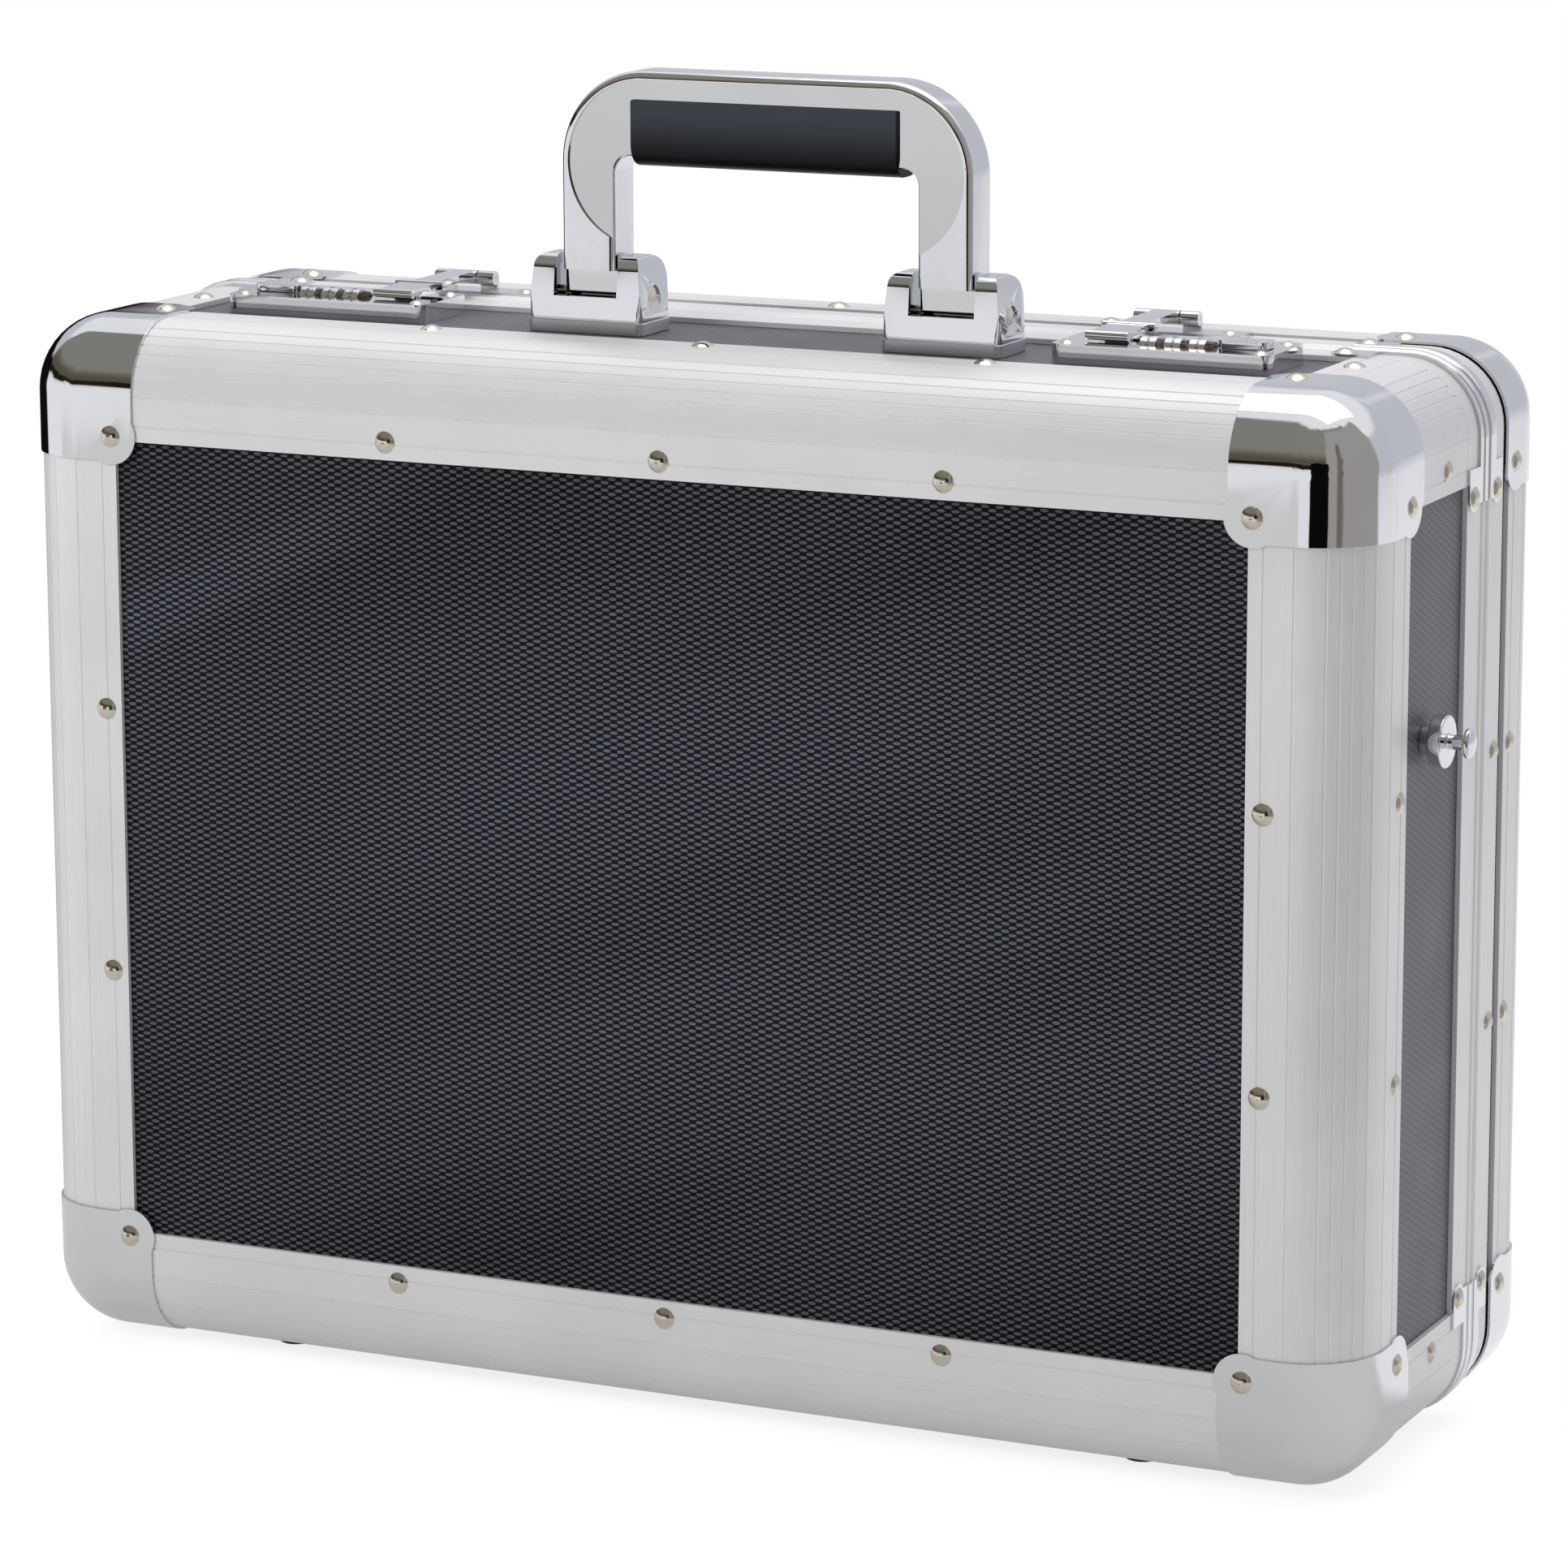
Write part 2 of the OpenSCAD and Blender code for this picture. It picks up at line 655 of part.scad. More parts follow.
// ---- Corner caps ----
// Shell over the lower right front corner, reaching the given lengths inward
module corner_shell(reach_x, reach_y, reach_z) translate([half_w - round_r, round_r, round_r]) {
    x = reach_x - round_r;
    y = reach_y - round_r;
    z = reach_z - round_r;
    difference() {
        intersection() {
            sphere(round_r + cap_t);
            translate([0, -2 * round_r, -2 * round_r]) cube(2 * round_r);
        }
        sphere(round_r);
    }
    rotate(-90) rotate_extrude(angle = 90) translate([round_r, 0]) square([cap_t, z]);
    rotate([-90, 0, 0]) rotate_extrude(angle = 90) translate([round_r, 0]) square([cap_t, y]);
    mirror([1, 0, 1]) rotate(-90) rotate_extrude(angle = 90) translate([round_r, 0]) square([cap_t, x]);
    translate([-x, -round_r - cap_t, 0]) cube([x, cap_t, z]);
    translate([round_r, 0, 0]) cube([cap_t, y, z]);
    translate([-x, 0, -round_r - cap_t]) cube([x, y, cap_t]);
}

// What is cut from a leg's free corner outside the tab round its rivet
module tab_cut(u, v) difference() {
    translate([u, v]) square(cap_leg);
    translate([u, v]) circle(cap_tab_r);
}

// One cap, with its side rivets at depth y and its legs along the depth ending at reach_y
module corner_cap(y, reach_y) difference() {
    union() {
        difference() {
            corner_shell(cap_leg, reach_y, cap_leg);
            translate([half_w, -2, 0]) rotate([-90, 0, 0]) linear_extrude(4)
                mirror([1, 0]) mirror([0, 1]) tab_cut(cap_rivet, cap_rivet);
            translate([half_w, 0, -2]) linear_extrude(4) mirror([1, 0]) tab_cut(cap_rivet, y);
            translate([half_w + 2, 0, 0]) rotate([0, -90, 0]) linear_extrude(4) tab_cut(cap_rivet, y);
        }
        intersection() {
            union() {
                on_front(half_w - cap_rivet, cap_rivet) cylinder(h = cap_t, r = cap_tab_r);
                on_right(y, cap_rivet) cylinder(h = cap_t, r = cap_tab_r);
                on_bottom(half_w - cap_rivet, y) cylinder(h = cap_t, r = cap_tab_r);
            }
            translate([0, -5, -5]) cube([case_w, reach_y + 5, case_h]);
        }
    }
    on_front(half_w - cap_rivet, cap_rivet, cap_t) hole(3);
    on_right(y, cap_rivet, cap_t) hole(3);
    on_bottom(half_w - cap_rivet, y, cap_t) hole(3);
}

module front_corner_caps() color(chrome) at_corners() corner_cap(cap_rivet, cap_deep);

module rear_corner_caps() color(chrome) to_rear() at_corners()
    corner_cap(rear_rivet, case_d - lid_lip_end - rear_cap_gap);

// ---- Lip brackets: strips over the beads round each corner, with a riveted tab at both ends ----
module strip_section(y, rivet_y) {
    side = sign(rivet_y - y);
    intersection() {
        translate([bead_out - bead_r, y]) difference() {
            circle(bead_r + cap_t);
            circle(bead_r);
        }
        translate([0, y - bead_r]) square([bead_out + cap_t, 2 * bead_r]);
    }
    translate([0, side > 0 ? y + bead_r - 0.3 : y - bead_r - strip_w]) square([cap_t, strip_w + 0.3]);
}

module lip_bracket(y, rivet_y) difference() {
    side = sign(rivet_y - y);
    near = y + side * (bead_r - 0.3);
    far = rivet_y + side * bracket_tab_r;
    union() {
        lip_corner() strip_section(y, rivet_y);
        on_both_faces() {
            translate([half_w, 0, round_r]) linear_extrude(lip_rivet_in + bracket_tab_r / 2 - round_r)
                strip_section(y, rivet_y);
            translate([half_w, min(near, far), lip_rivet_in - 2 * bracket_tab_r])
                cube([cap_t, abs(far - near), 2 * bracket_tab_r]);
            translate([half_w, min(near, rivet_y), lip_rivet_in - bracket_tab_r])
                cube([cap_t, abs(rivet_y - near), 1.5 * bracket_tab_r]);
            on_right(rivet_y, lip_rivet_in) cylinder(h = cap_t, r = bracket_tab_r);
        }
    }
    on_both_faces() on_right(rivet_y, lip_rivet_in, cap_t) hole(3);
}

// A child drawn on the right face, repeated on the bottom with its insets exchanged
module on_both_faces() {
    children();
    translate([half_w, 0, 0]) mirror([1, 0, 1]) translate([-half_w, 0, 0]) children();
}

module base_lip_brackets() color(chrome) at_corners() lip_bracket(bead_y, base_bracket_y);

module lid_lip_brackets() color(chrome) at_corners() lip_bracket(lid_bead_y, lid_bracket_y);

// ---- Piano hinge under the bottom ----
// One rivet on every third knuckle
module hinge_spots(y) for (i = [1:3:knuckles - 1])
    on_bottom((i - (knuckles - 1) / 2) * hinge_len / knuckles, y, leaf_t) children();

module hinge_leaf(first) difference() {
    pitch = hinge_len / knuckles;
    union() {
        translate([-hinge_len / 2, base_d - leaf_w, -leaf_t])
            cube([hinge_len, leaf_w - knuckle_r - 2 * knuckle_gap, leaf_t]);
        for (i = [first:2:knuckles - 1])
            translate([(i - knuckles / 2) * pitch + knuckle_gap / 2, base_d, 0]) {
                translate([0, 0, hinge_z]) rotate([0, 90, 0]) cylinder(h = pitch - knuckle_gap, r = knuckle_r);
                translate([0, -knuckle_r - 1, -leaf_t]) cube([pitch - knuckle_gap, knuckle_r + 1, leaf_t]);
            }
    }
    translate([-hinge_len, base_d, hinge_z]) rotate([0, 90, 0])
        cylinder(h = 2 * hinge_len, r = hinge_pin_d / 2 + shank_gap);
    hinge_spots(base_hinge_row) hole(3);
}

module hinge_base_leaf() color(alu) hinge_leaf(0);

module hinge_lid_leaf() color(alu) translate([0, 2 * base_d, 0]) mirror([0, 1, 0]) hinge_leaf(1);

module hinge_pin() color(nickel) translate([-hinge_len / 2, base_d, hinge_z]) rotate([0, 90, 0])
    cylinder(h = hinge_len, d = hinge_pin_d);

module glide() {
    cylinder(h = glide_h - 0.6, d = glide_d);
    translate([0, 0, glide_h - 0.6]) cylinder(h = 0.6, d1 = glide_d, d2 = glide_d - 1.2);
}

module base_glides() color(black) for (x = [-glide_x, glide_x]) on_bottom(x, glide_y) glide();

module lid_glides() color(black) to_rear() for (x = [-glide_x, glide_x]) on_bottom(x, glide_y) glide();

// ---- Handle: local frame with the pivot at the origin of each foot ----
module at_feet() for (s = [-1, 1]) translate([handle_x + s * foot_x, foot_y, case_h]) children();

module foot() difference() {
    top = foot_w / 2 - foot_taper;
    intersection() {
        translate([0, foot_d / 2 + 1, 0]) rotate([90, 0, 0]) linear_extrude(foot_d + 2)
            rounded([[-foot_w / 2, skirt_top], [foot_w / 2, skirt_top], [top, foot_h], [-top, foot_h]], [0, 0, 3.5, 3.5]);
        translate([-foot_w / 2 - 1, 0, 0]) rotate([90, 0, 90]) linear_extrude(foot_w + 2)
            rounded([[-foot_d / 2, skirt_top], [foot_d / 2, skirt_top],
                [foot_d / 2 - 0.5, foot_h], [2 - foot_d / 2, foot_h]], [0, 0, 9, 5]);
        linear_extrude(foot_h + 1) rounded_rect([foot_w - 0.3, foot_d - 0.3], foot_round);
    }
    translate([-leg_w / 2 - leg_gap, -foot_d, sill_h]) cube([leg_w + 2 * leg_gap, 2 * foot_d, foot_h]);
    translate([-leg_w / 2 - leg_gap, sill_t - foot_d / 2, pivot_up - barrel_r - 0.5])
        cube([leg_w + 2 * leg_gap, foot_d - 2 * sill_t, foot_h]);
    translate([-foot_w, 0, pivot_up]) rotate([0, 90, 0]) cylinder(h = 2 * foot_w, r = pivot_d / 2);
    for (m = [0, 1]) mirror([m, 0, 0]) translate([pin_reach, 0, pivot_up]) {
        // shallow dimple with the pin's head at its bottom
        ball = (dimple_r * dimple_r + dimple_t * dimple_t) / (2 * dimple_t);
        translate([ball - dimple_t, 0, 0]) sphere(ball);
        translate([-dimple_t - pin_head[1] / 2, 0, 0]) rotate([0, 90, 0]) cylinder(h = 5, d = pin_head[0]);
    }
}

module handle_feet() color(chrome) at_feet() foot();

module handle_foot_plates() color(chrome) at_feet() translate([0, 0, -panel_out])
    linear_extrude(skirt_h) rounded_rect([foot_w + 0.4, foot_d + 0.4], foot_round + 0.2);

module handle_pins() color(nickel) at_feet() {
    reach = pin_reach - dimple_t;
    translate([-reach, 0, pivot_up]) rotate([0, 90, 0]) cylinder(h = 2 * reach, d = pivot_d);
    for (s = [-1, 1]) translate([s * reach, 0, pivot_up]) rotate([0, 90, 0])
        cylinder(h = pin_head[1], d = pin_head[0], center = true);
}

// Section of the bail's outer side, from the middle of its arcs outwards
module rim_section() rounded([[0, -bail_t / 2], [bail_r, -bail_t / 2], [bail_r, bail_t / 2], [0, bail_t / 2]],
    [0, edge_r, edge_r, 0]);

// Section of the bail's opening, from the middle of its corners outwards, widening at both faces
module gap_section() {
    square([2 * bail_inner_r, 2 * bail_t], center = true);
    for (m = [0, 1]) mirror([0, m]) difference() {
        translate([0, bail_t / 2 - edge_r]) square([bail_inner_r + edge_r, 2 * edge_r]);
        translate([bail_inner_r + edge_r, bail_t / 2 - edge_r]) circle(edge_r);
    }
}

// Sweeps a section up both legs, round both corners and along the bar; x and z are the corners' middles
module arch(x, z, bottom) {
    for (m = [0, 1]) mirror([m, 0, 0]) {
        translate([x, 0, bottom]) linear_extrude(z - bottom) children();
        translate([x, 0, z]) rotate([90, 0, 0]) rotate_extrude(angle = 90) children();
    }
    translate([x, 0, z]) rotate([0, -90, 0]) linear_extrude(2 * x) children();
    translate([-x, -bail_t / 2, bottom]) cube([2 * x, bail_t, z - bottom]);
}

module recess_outline() {
    x = bail_w / 2 - bail_r;
    r = bail_r - face_rim;
    for (s = [-1, 1]) translate([s * x, bail_h - bail_r]) circle(r);
    translate([-x, bail_h - bail_r - r]) square([2 * x, 2 * r]);
}

module at_pivot() translate([handle_x, foot_y, pivot_z]) children();

module handle_bail() color(chrome) at_pivot() difference() {
    bottom = leg_bottom - pivot_up;
    union() {
        difference() {
            arch(bail_w / 2 - bail_r, bail_h - bail_r, bottom) rim_section();
            arch(bail_w / 2 - leg_w - bail_inner_r, bail_h - bar_h - bail_inner_r, bottom - 1)
                intersection() {
                    gap_section();
                    translate([0, -bail_t]) square(2 * bail_t);
                }
        }
        for (s = [-1, 1]) translate([s * foot_x - leg_w / 2, 0, 0]) {
            rotate([0, 90, 0]) cylinder(h = leg_w, r = barrel_r);
            translate([0, -barrel_r, 0]) cube([leg_w, 2 * barrel_r, bottom + 1]);
        }
    }
    for (s = [-1, 1]) translate([0, s * bail_t / 2, 0]) rotate([90, 0, 0])
        translate([0, 0, -face_recess]) linear_extrude(2 * face_recess) recess_outline();
    translate([-bail_w, 0, 0]) rotate([0, 90, 0]) cylinder(h = 2 * bail_w, r = pivot_d / 2 + shank_gap);
}

// Soft grip round the bar's lower part, with a full round under it
module handle_grip() color(black) at_pivot() translate([-grip_len / 2, 0, 0]) rotate([90, 0, 90])
    linear_extrude(grip_len) difference() {
        w = bail_t / 2 + grip_out;
        top = bail_h - grip_down;
        under = bail_h - bar_h;
        rounded([[-w, under - grip_under], [w, under - grip_under], [w, top], [-w, top]],
            [grip_round, grip_round, 1, 1]);
        intersection() {
            rounded([[-bail_t / 2, under], [bail_t / 2, under], [bail_t / 2, bail_h], [-bail_t / 2, bail_h]],
                [edge_r, edge_r, 0, 0]);
            translate([-bail_t / 2 + face_recess, under]) square([bail_t - 2 * face_recess, bar_h]);
        }
    }

// ---- Locks, drawn on the right ----
module lock_plate() difference() {
    translate([lock_in + lock_w / 2, lock_y + lock_d / 2, top_panel_z]) {
        difference() {
            linear_extrude(lock_h) rounded_rect([lock_w, lock_d], 4);
            translate([0, 0, -1]) linear_extrude(lock_h - lock_t + 1)
                rounded_rect([lock_w - 2 * lock_t, lock_d - 2 * lock_t], 4 - lock_t);
        }
    }
    translate([dial_start - 0.2, dial_y - dial_r - 0.2, plate_top - 2 * lock_t])
        cube([3 * dial_pitch + 0.4, 2 * dial_r + 0.4, 3 * lock_t]);
    translate([button_x - stem_size[0] / 2 - 0.2, button_y - stem_size[1] / 2 - 0.15, plate_top - 2 * lock_t])
        cube([stem_size[0] + button_travel + 0.4, stem_size[1] + 0.3, 3 * lock_t]);
    translate([hasp_x - catch_size[0] / 2 - 0.4, catch_y - catch_size[1] / 2 - 0.5, plate_top - catch_in - 0.6])
        cube([catch_size[0] + 0.8, lock_d, catch_in + 3]);
    lock_spots() hole(2 * lock_t);
}

module lock_plate_right() color(chrome) lock_plate();
module lock_plate_left() color(chrome) mirror([1, 0, 0]) lock_plate();

module dial_spindles() color(nickel) both_sides() {
    translate([dial_start - 0.8, dial_y, dial_z]) rotate([0, 90, 0])
        cylinder(h = 3 * dial_pitch + 1.6, d = spindle_d);
    for (x = [dial_start - 1.8, dial_start + 3 * dial_pitch + 0.4])
        translate([x, dial_y - 2, top_panel_z]) cube([1.4, 4, lock_h - lock_t]);
}

// Dial i counts outwards from the case's middle; its number drum is on the left of its knurled wheel
module dial(side, i) color(nickel) {
    x = side > 0 ? dial_start + (i - 1) * dial_pitch : -dial_start - i * dial_pitch;
    translate([x + dial_gap, dial_y, dial_z]) rotate([0, 90, 0]) difference() {
        union() {
            cylinder(h = drum_w, r = dial_r);
            linear_extrude(drum_w + wheel_w)
                polygon([for (k = [0:47]) (wheel_r - 0.3 * (k % 2)) * [cos(7.5 * k), sin(7.5 * k)]]);
        }
        translate([0, 0, -1]) cylinder(h = dial_pitch + 2, r = spindle_d / 2 + shank_gap);
    }
}

module dial_right_1() dial(1, 1);
module dial_right_2() dial(1, 2);
module dial_right_3() dial(1, 3);
module dial_left_1() dial(-1, 1);
module dial_left_2() dial(-1, 2);
module dial_left_3() dial(-1, 3);

module slide_button() translate([button_x, button_y, plate_top]) {
    difference() {
        translate([0, 0, 0.1]) linear_extrude(button_h - 0.1) rounded_rect(button_size, 2);
        for (x = [-4.5:1.5:4.5]) translate([x - 0.3, -button_size[1], button_h - 0.4])
            cube([0.6, 2 * button_size[1], 1]);
    }
    translate([-stem_size[0] / 2, -stem_size[1] / 2, -lock_t - 1])
        cube([stem_size[0], stem_size[1], lock_t + 1.2]);
    translate([-stem_size[0] / 2 - 1, -stem_size[1] / 2 - 1.5, -lock_t - 1.1])
        cube([stem_size[0] + 2, stem_size[1] + 3, 1]);
}

module slide_button_right() color(chrome) slide_button();
module slide_button_left() color(chrome) mirror([1, 0, 0]) slide_button();

// ---- Hasps, drawn on the right ----
module hasp() difference() {
    reach = hasp_axis_y - hasp_rib_y;
    union() {
        translate([hasp_x - hasp_barrel_w / 2, hasp_axis_y, hasp_axis_z]) rotate([0, 90, 0])
            cylinder(h = hasp_barrel_w, r = hasp_r);
        translate([hasp_x, 0, 0]) {
            // leaf from the barrel to the rear crossbar, then a broader one down to the front crossbar
            translate([-hasp_barrel_w / 2, 0, 0]) rotate([90, 0, 90]) linear_extrude(hasp_barrel_w)
                polygon([[hasp_axis_y, hasp_axis_z + hasp_r], [hasp_axis_y, hasp_axis_z + hasp_r - hasp_t],
                    [hasp_rib_y, rib_z - hasp_t / 2], [hasp_rib_y, rib_z + hasp_t / 2]]);
            translate([-hasp_arm_w / 2, 0, 0]) rotate([90, 0, 90]) linear_extrude(hasp_arm_w)
                polygon([[hasp_rib_y, rib_z + hasp_t / 2], [hasp_rib_y, rib_z - hasp_t / 2],
                    [hasp_bar_y, bar_z - hasp_t / 2], [hasp_bar_y, bar_z + hasp_t / 2]]);
            translate([-hasp_w / 2, hasp_rib_y, rib_z]) rotate([0, 90, 0]) cylinder(h = hasp_w, r = hasp_bar_r);
            translate([-hasp_w * 0.4, hasp_bar_y, bar_z]) rotate([0, 90, 0])
                cylinder(h = hasp_w * 0.8, r = hasp_bar_r);
            translate([-catch_size[0] / 2, catch_y - catch_size[1] / 2, plate_top - catch_in])
                cube([catch_size[0], catch_size[1], catch_in + 1.4]);
        }
    }
    translate([hasp_x - hasp_w, hasp_axis_y, hasp_axis_z]) rotate([0, 90, 0])
        cylinder(h = 2 * hasp_w, r = hasp_pin_d / 2 + shank_gap);
}

module hasp_right() color(chrome) hasp();
module hasp_left() color(chrome) mirror([1, 0, 0]) hasp();

module hasp_brackets() color(chrome) both_sides() difference() {
    start = hasp_barrel_w / 2 + 0.2;
    union() {
        translate([hasp_x - bracket_w / 2, bracket_y, case_h]) cube([bracket_w, bracket_d, bracket_t]);
        for (m = [0, 1]) translate([hasp_x, 0, 0]) mirror([m, 0, 0]) translate([start, 0, 0]) {
            translate([0, hasp_axis_y, hasp_axis_z]) rotate([0, 90, 0]) cylinder(h = knuckle_w, r = hasp_r);
            translate([0, bracket_y, case_h]) cube([knuckle_w, hasp_axis_y + hasp_r - bracket_y, hasp_z]);
        }
    }
    translate([hasp_x - bracket_w, hasp_axis_y, hasp_axis_z]) rotate([0, 90, 0])
        cylinder(h = 2 * bracket_w, r = hasp_pin_d / 2);
    hasp_spots() hole(bracket_t + 1);
}

module hasp_pins() color(nickel) both_sides() translate([hasp_x - hasp_barrel_w / 2 - 0.2 - knuckle_w,
    hasp_axis_y, hasp_axis_z]) rotate([0, 90, 0])
    cylinder(h = hasp_barrel_w + 0.4 + 2 * knuckle_w, d = hasp_pin_d);

// ---- Strap studs: a child's +z points out of the side panel ----
module stud_spots() both_sides() on_right(stud_y, stud_z, -panel_out) children();

module strap_studs() color(chrome) stud_spots() {
    collar = stud_collar_d / 2;
    flange = stud_flange_d / 2;
    neck = stud_neck_d / 2;
    head = stud_head_d / 2;
    rotate_extrude() polygon([[0, -panel_t], [stud_shank_r, -panel_t], [stud_shank_r, 0], [collar, 0], [collar, 3.5],
        [flange - 0.4, 3.5], [flange, 3.9], [flange, 7.5], [flange - 0.4, 7.9], [neck + 0.4, 7.9], [neck, 8.3],
        [neck, 13.1], [head - 0.5, 13.4], [head, 14], [head, 14.6], [head - 0.5, 15.4], [head * 0.6, 16],
        [head * 0.3, 16.3], [0, 16.4]]);
    translate([0, 0, -panel_t - panel_gap - 1.1]) cylinder(h = 1.1 + panel_gap, r = stud_shank_r + 4);
}

// ---- Lid stays: two equal links on each side, so that hinge pin and pivots make a rhombus ----
module stay_spots() both_sides() translate([half_w - wall_in, base_d - stay_y, stay_z]) children();
module lid_stay_spots() both_sides() translate([half_w - wall_in, base_d + stay_y, stay_z]) children();

module link_outline(a, b) {
    v = b - a;
    translate(a) rotate(atan2(v[1], v[0])) translate([0, -stay_w / 2]) square([norm(v), stay_w]);
    for (p = [a, b]) translate(p) circle(stay_w / 2);
}

module pin_along(x0, x1, r) translate([x0, 0, 0]) rotate([0, 90, 0]) cylinder(h = x1 - x0, r = r);

module stay_pins_base() color(nickel) both_sides() translate([0, stay_p[0], stay_p[1]]) {
    pin_along(arm_x - stay_gap / 2 - pin_head_t, half_w - leg_at, stay_pin_r);
    pin_along(arm_x - stay_gap / 2 - pin_head_t, arm_x - stay_gap / 2, stay_pin_r + 1.5);
}

module stay_pins_lid() color(nickel) both_sides() translate([0, stay_q[0], stay_q[1]]) {
    pin_along(link_x - stay_gap / 2 - pin_head_t, half_w - leg_at, stay_pin_r);
    pin_along(link_x - stay_gap / 2 - pin_head_t, link_x - stay_gap / 2, stay_pin_r + 1.5);
    pin_along(link_x + stay_t + stay_gap / 2, half_w - wall_in, stay_pin_r + 1.5);
}

module stay_arm() {
    difference() {
        translate([arm_x, 0, 0]) rotate([90, 0, 90]) linear_extrude(stay_t) link_outline(stay_p, stay_k);
        translate([0, stay_p[0], stay_p[1]]) pin_along(arm_x - 1, arm_x + stay_t + 1, stay_pin_r + shank_gap);
    }
    translate([0, stay_k[0], stay_k[1]]) {
        pin_along(link_x - stay_gap / 2 - pin_head_t, arm_x + eps, stay_pin_r);
        pin_along(link_x - stay_gap / 2 - pin_head_t, link_x - stay_gap / 2, stay_pin_r + 1.5);
    }
}

module stay_link() difference() {
    translate([link_x, 0, 0]) rotate([90, 0, 90]) linear_extrude(stay_t) link_outline(stay_q, stay_k);
    for (p = [stay_q, stay_k]) translate([0, p[0], p[1]])
        pin_along(link_x - 1, link_x + stay_t + 1, stay_pin_r + shank_gap);
}

module stay_arm_right() color(alu) stay_arm();
module stay_arm_left() color(alu) mirror([1, 0, 0]) stay_arm();
module stay_link_right() color(alu) stay_link();
module stay_link_left() color(alu) mirror([1, 0, 0]) stay_link();

// ---- Foam lining ----
module wall_pads(y0, y1) {
    both_sides() translate([half_w - wall_in - lining_t, y0, panel_edge])
        cube([lining_t, y1 - y0, case_h - 2 * panel_edge]);
    top_and_bottom() translate([panel_edge - half_w, y0, wall_in])
        cube([case_w - 2 * panel_edge, y1 - y0, lining_t]);
}

module face_pad() translate([panel_edge - half_w, wall_in, panel_edge])
    cube([case_w - 2 * panel_edge, lining_t, case_h - 2 * panel_edge]);

module base_lining() color(grey) {
    face_pad();
    wall_pads(panel_edge, base_lip_y - 2);
}

module lid_lining() color(grey) {
    to_rear() face_pad();
    wall_pads(case_d - flange_w + 2, case_d - panel_edge);
}

place() front_panel();
place() rear_panel();
place() base_side_panels();
place() lid_side_strips();
place() front_edge_profiles();
place() depth_edge_profiles();
place() rear_edge_profiles();
place() base_lip_frame();
place() lid_lip_frame();
place() lid_corner_blocks();
place() front_corner_caps();
place() rear_corner_caps();
place() base_lip_brackets();
place() lid_lip_brackets();
place() base_rivets();
place() lid_rivets();
place() hinge_base_leaf();
place() hinge_lid_leaf();
place() hinge_pin();
place() base_glides();
place() lid_glides();
place() handle_feet();
place() handle_foot_plates();
place() handle_pins();
place() handle_bail();
place() handle_grip();
place() lock_plate_left();
place() lock_plate_right();
place() dial_spindles();
place() dial_left_1();
place() dial_left_2();
place() dial_left_3();
place() dial_right_1();
place() dial_right_2();
place() dial_right_3();
place() slide_button_left();
place() slide_button_right();
place() hasp_left();
place() hasp_right();
place() hasp_brackets();
place() hasp_pins();
place() strap_studs();
place() stay_pins_base();
place() stay_pins_lid();
place() stay_arm_left();
place() stay_arm_right();
place() stay_link_left();
place() stay_link_right();
place() base_lining();
place() lid_lining();
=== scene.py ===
"""Looks of an aluminium-framed laptop hard case, standing upright with its deep half in front."""
import json
import math

import bmesh
import bpy
from mathutils import Matrix, Vector

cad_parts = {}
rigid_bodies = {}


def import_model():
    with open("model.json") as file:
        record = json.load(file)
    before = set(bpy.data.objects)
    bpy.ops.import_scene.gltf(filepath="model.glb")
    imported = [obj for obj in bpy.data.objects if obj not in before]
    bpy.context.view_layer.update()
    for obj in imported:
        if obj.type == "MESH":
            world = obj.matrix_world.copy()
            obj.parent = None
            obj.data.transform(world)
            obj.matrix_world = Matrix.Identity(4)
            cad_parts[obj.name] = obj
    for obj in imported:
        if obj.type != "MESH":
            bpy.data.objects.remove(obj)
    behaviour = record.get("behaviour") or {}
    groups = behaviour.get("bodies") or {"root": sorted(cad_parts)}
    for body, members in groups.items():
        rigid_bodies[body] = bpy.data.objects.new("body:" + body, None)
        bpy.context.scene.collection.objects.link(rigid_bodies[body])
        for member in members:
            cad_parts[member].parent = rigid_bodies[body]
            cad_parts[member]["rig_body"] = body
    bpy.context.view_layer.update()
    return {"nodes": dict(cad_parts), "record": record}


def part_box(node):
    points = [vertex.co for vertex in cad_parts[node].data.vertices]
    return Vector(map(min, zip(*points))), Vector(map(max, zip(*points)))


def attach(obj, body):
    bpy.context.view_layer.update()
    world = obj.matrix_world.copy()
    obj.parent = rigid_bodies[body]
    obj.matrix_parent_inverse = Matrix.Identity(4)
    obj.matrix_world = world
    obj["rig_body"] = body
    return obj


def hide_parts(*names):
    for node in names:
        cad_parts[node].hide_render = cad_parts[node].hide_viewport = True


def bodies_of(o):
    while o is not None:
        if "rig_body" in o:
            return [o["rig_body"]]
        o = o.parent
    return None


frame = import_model()

MM = 0.001
# Driving sizes of the case, in millimetres
CASE_W, CASE_D, CASE_H = 460.0, 165.0, 336.0
GLIDE_H = 2.6


def row(x, y, z):
    """The frame's point that is x right, y behind the front plane and z above the bottom plane."""
    return Vector((x, y - CASE_D / 2, z + GLIDE_H)) * MM


def add_object(name, data):
    """A new object of this data, in the scene."""
    obj = bpy.data.objects.new(name, data)
    bpy.context.scene.collection.objects.link(obj)
    return obj


# ---------------------------------------------------------------- camera
# The camera looks at the middle of the front plane from the right and from above: angles in
# degrees, distance and offset across the view in millimetres
VIEW_AZIMUTH, VIEW_ELEVATION, VIEW_ROLL = 25.026, 11.889, -0.168
VIEW_DISTANCE, VIEW_OFFSET = 1947.0, (-38.117, -34.839)
FOCAL_PX, IMAGE_PX, SENSOR_MM = 7733.0, 1932, 36.0
CLIP_END_M = 20.0


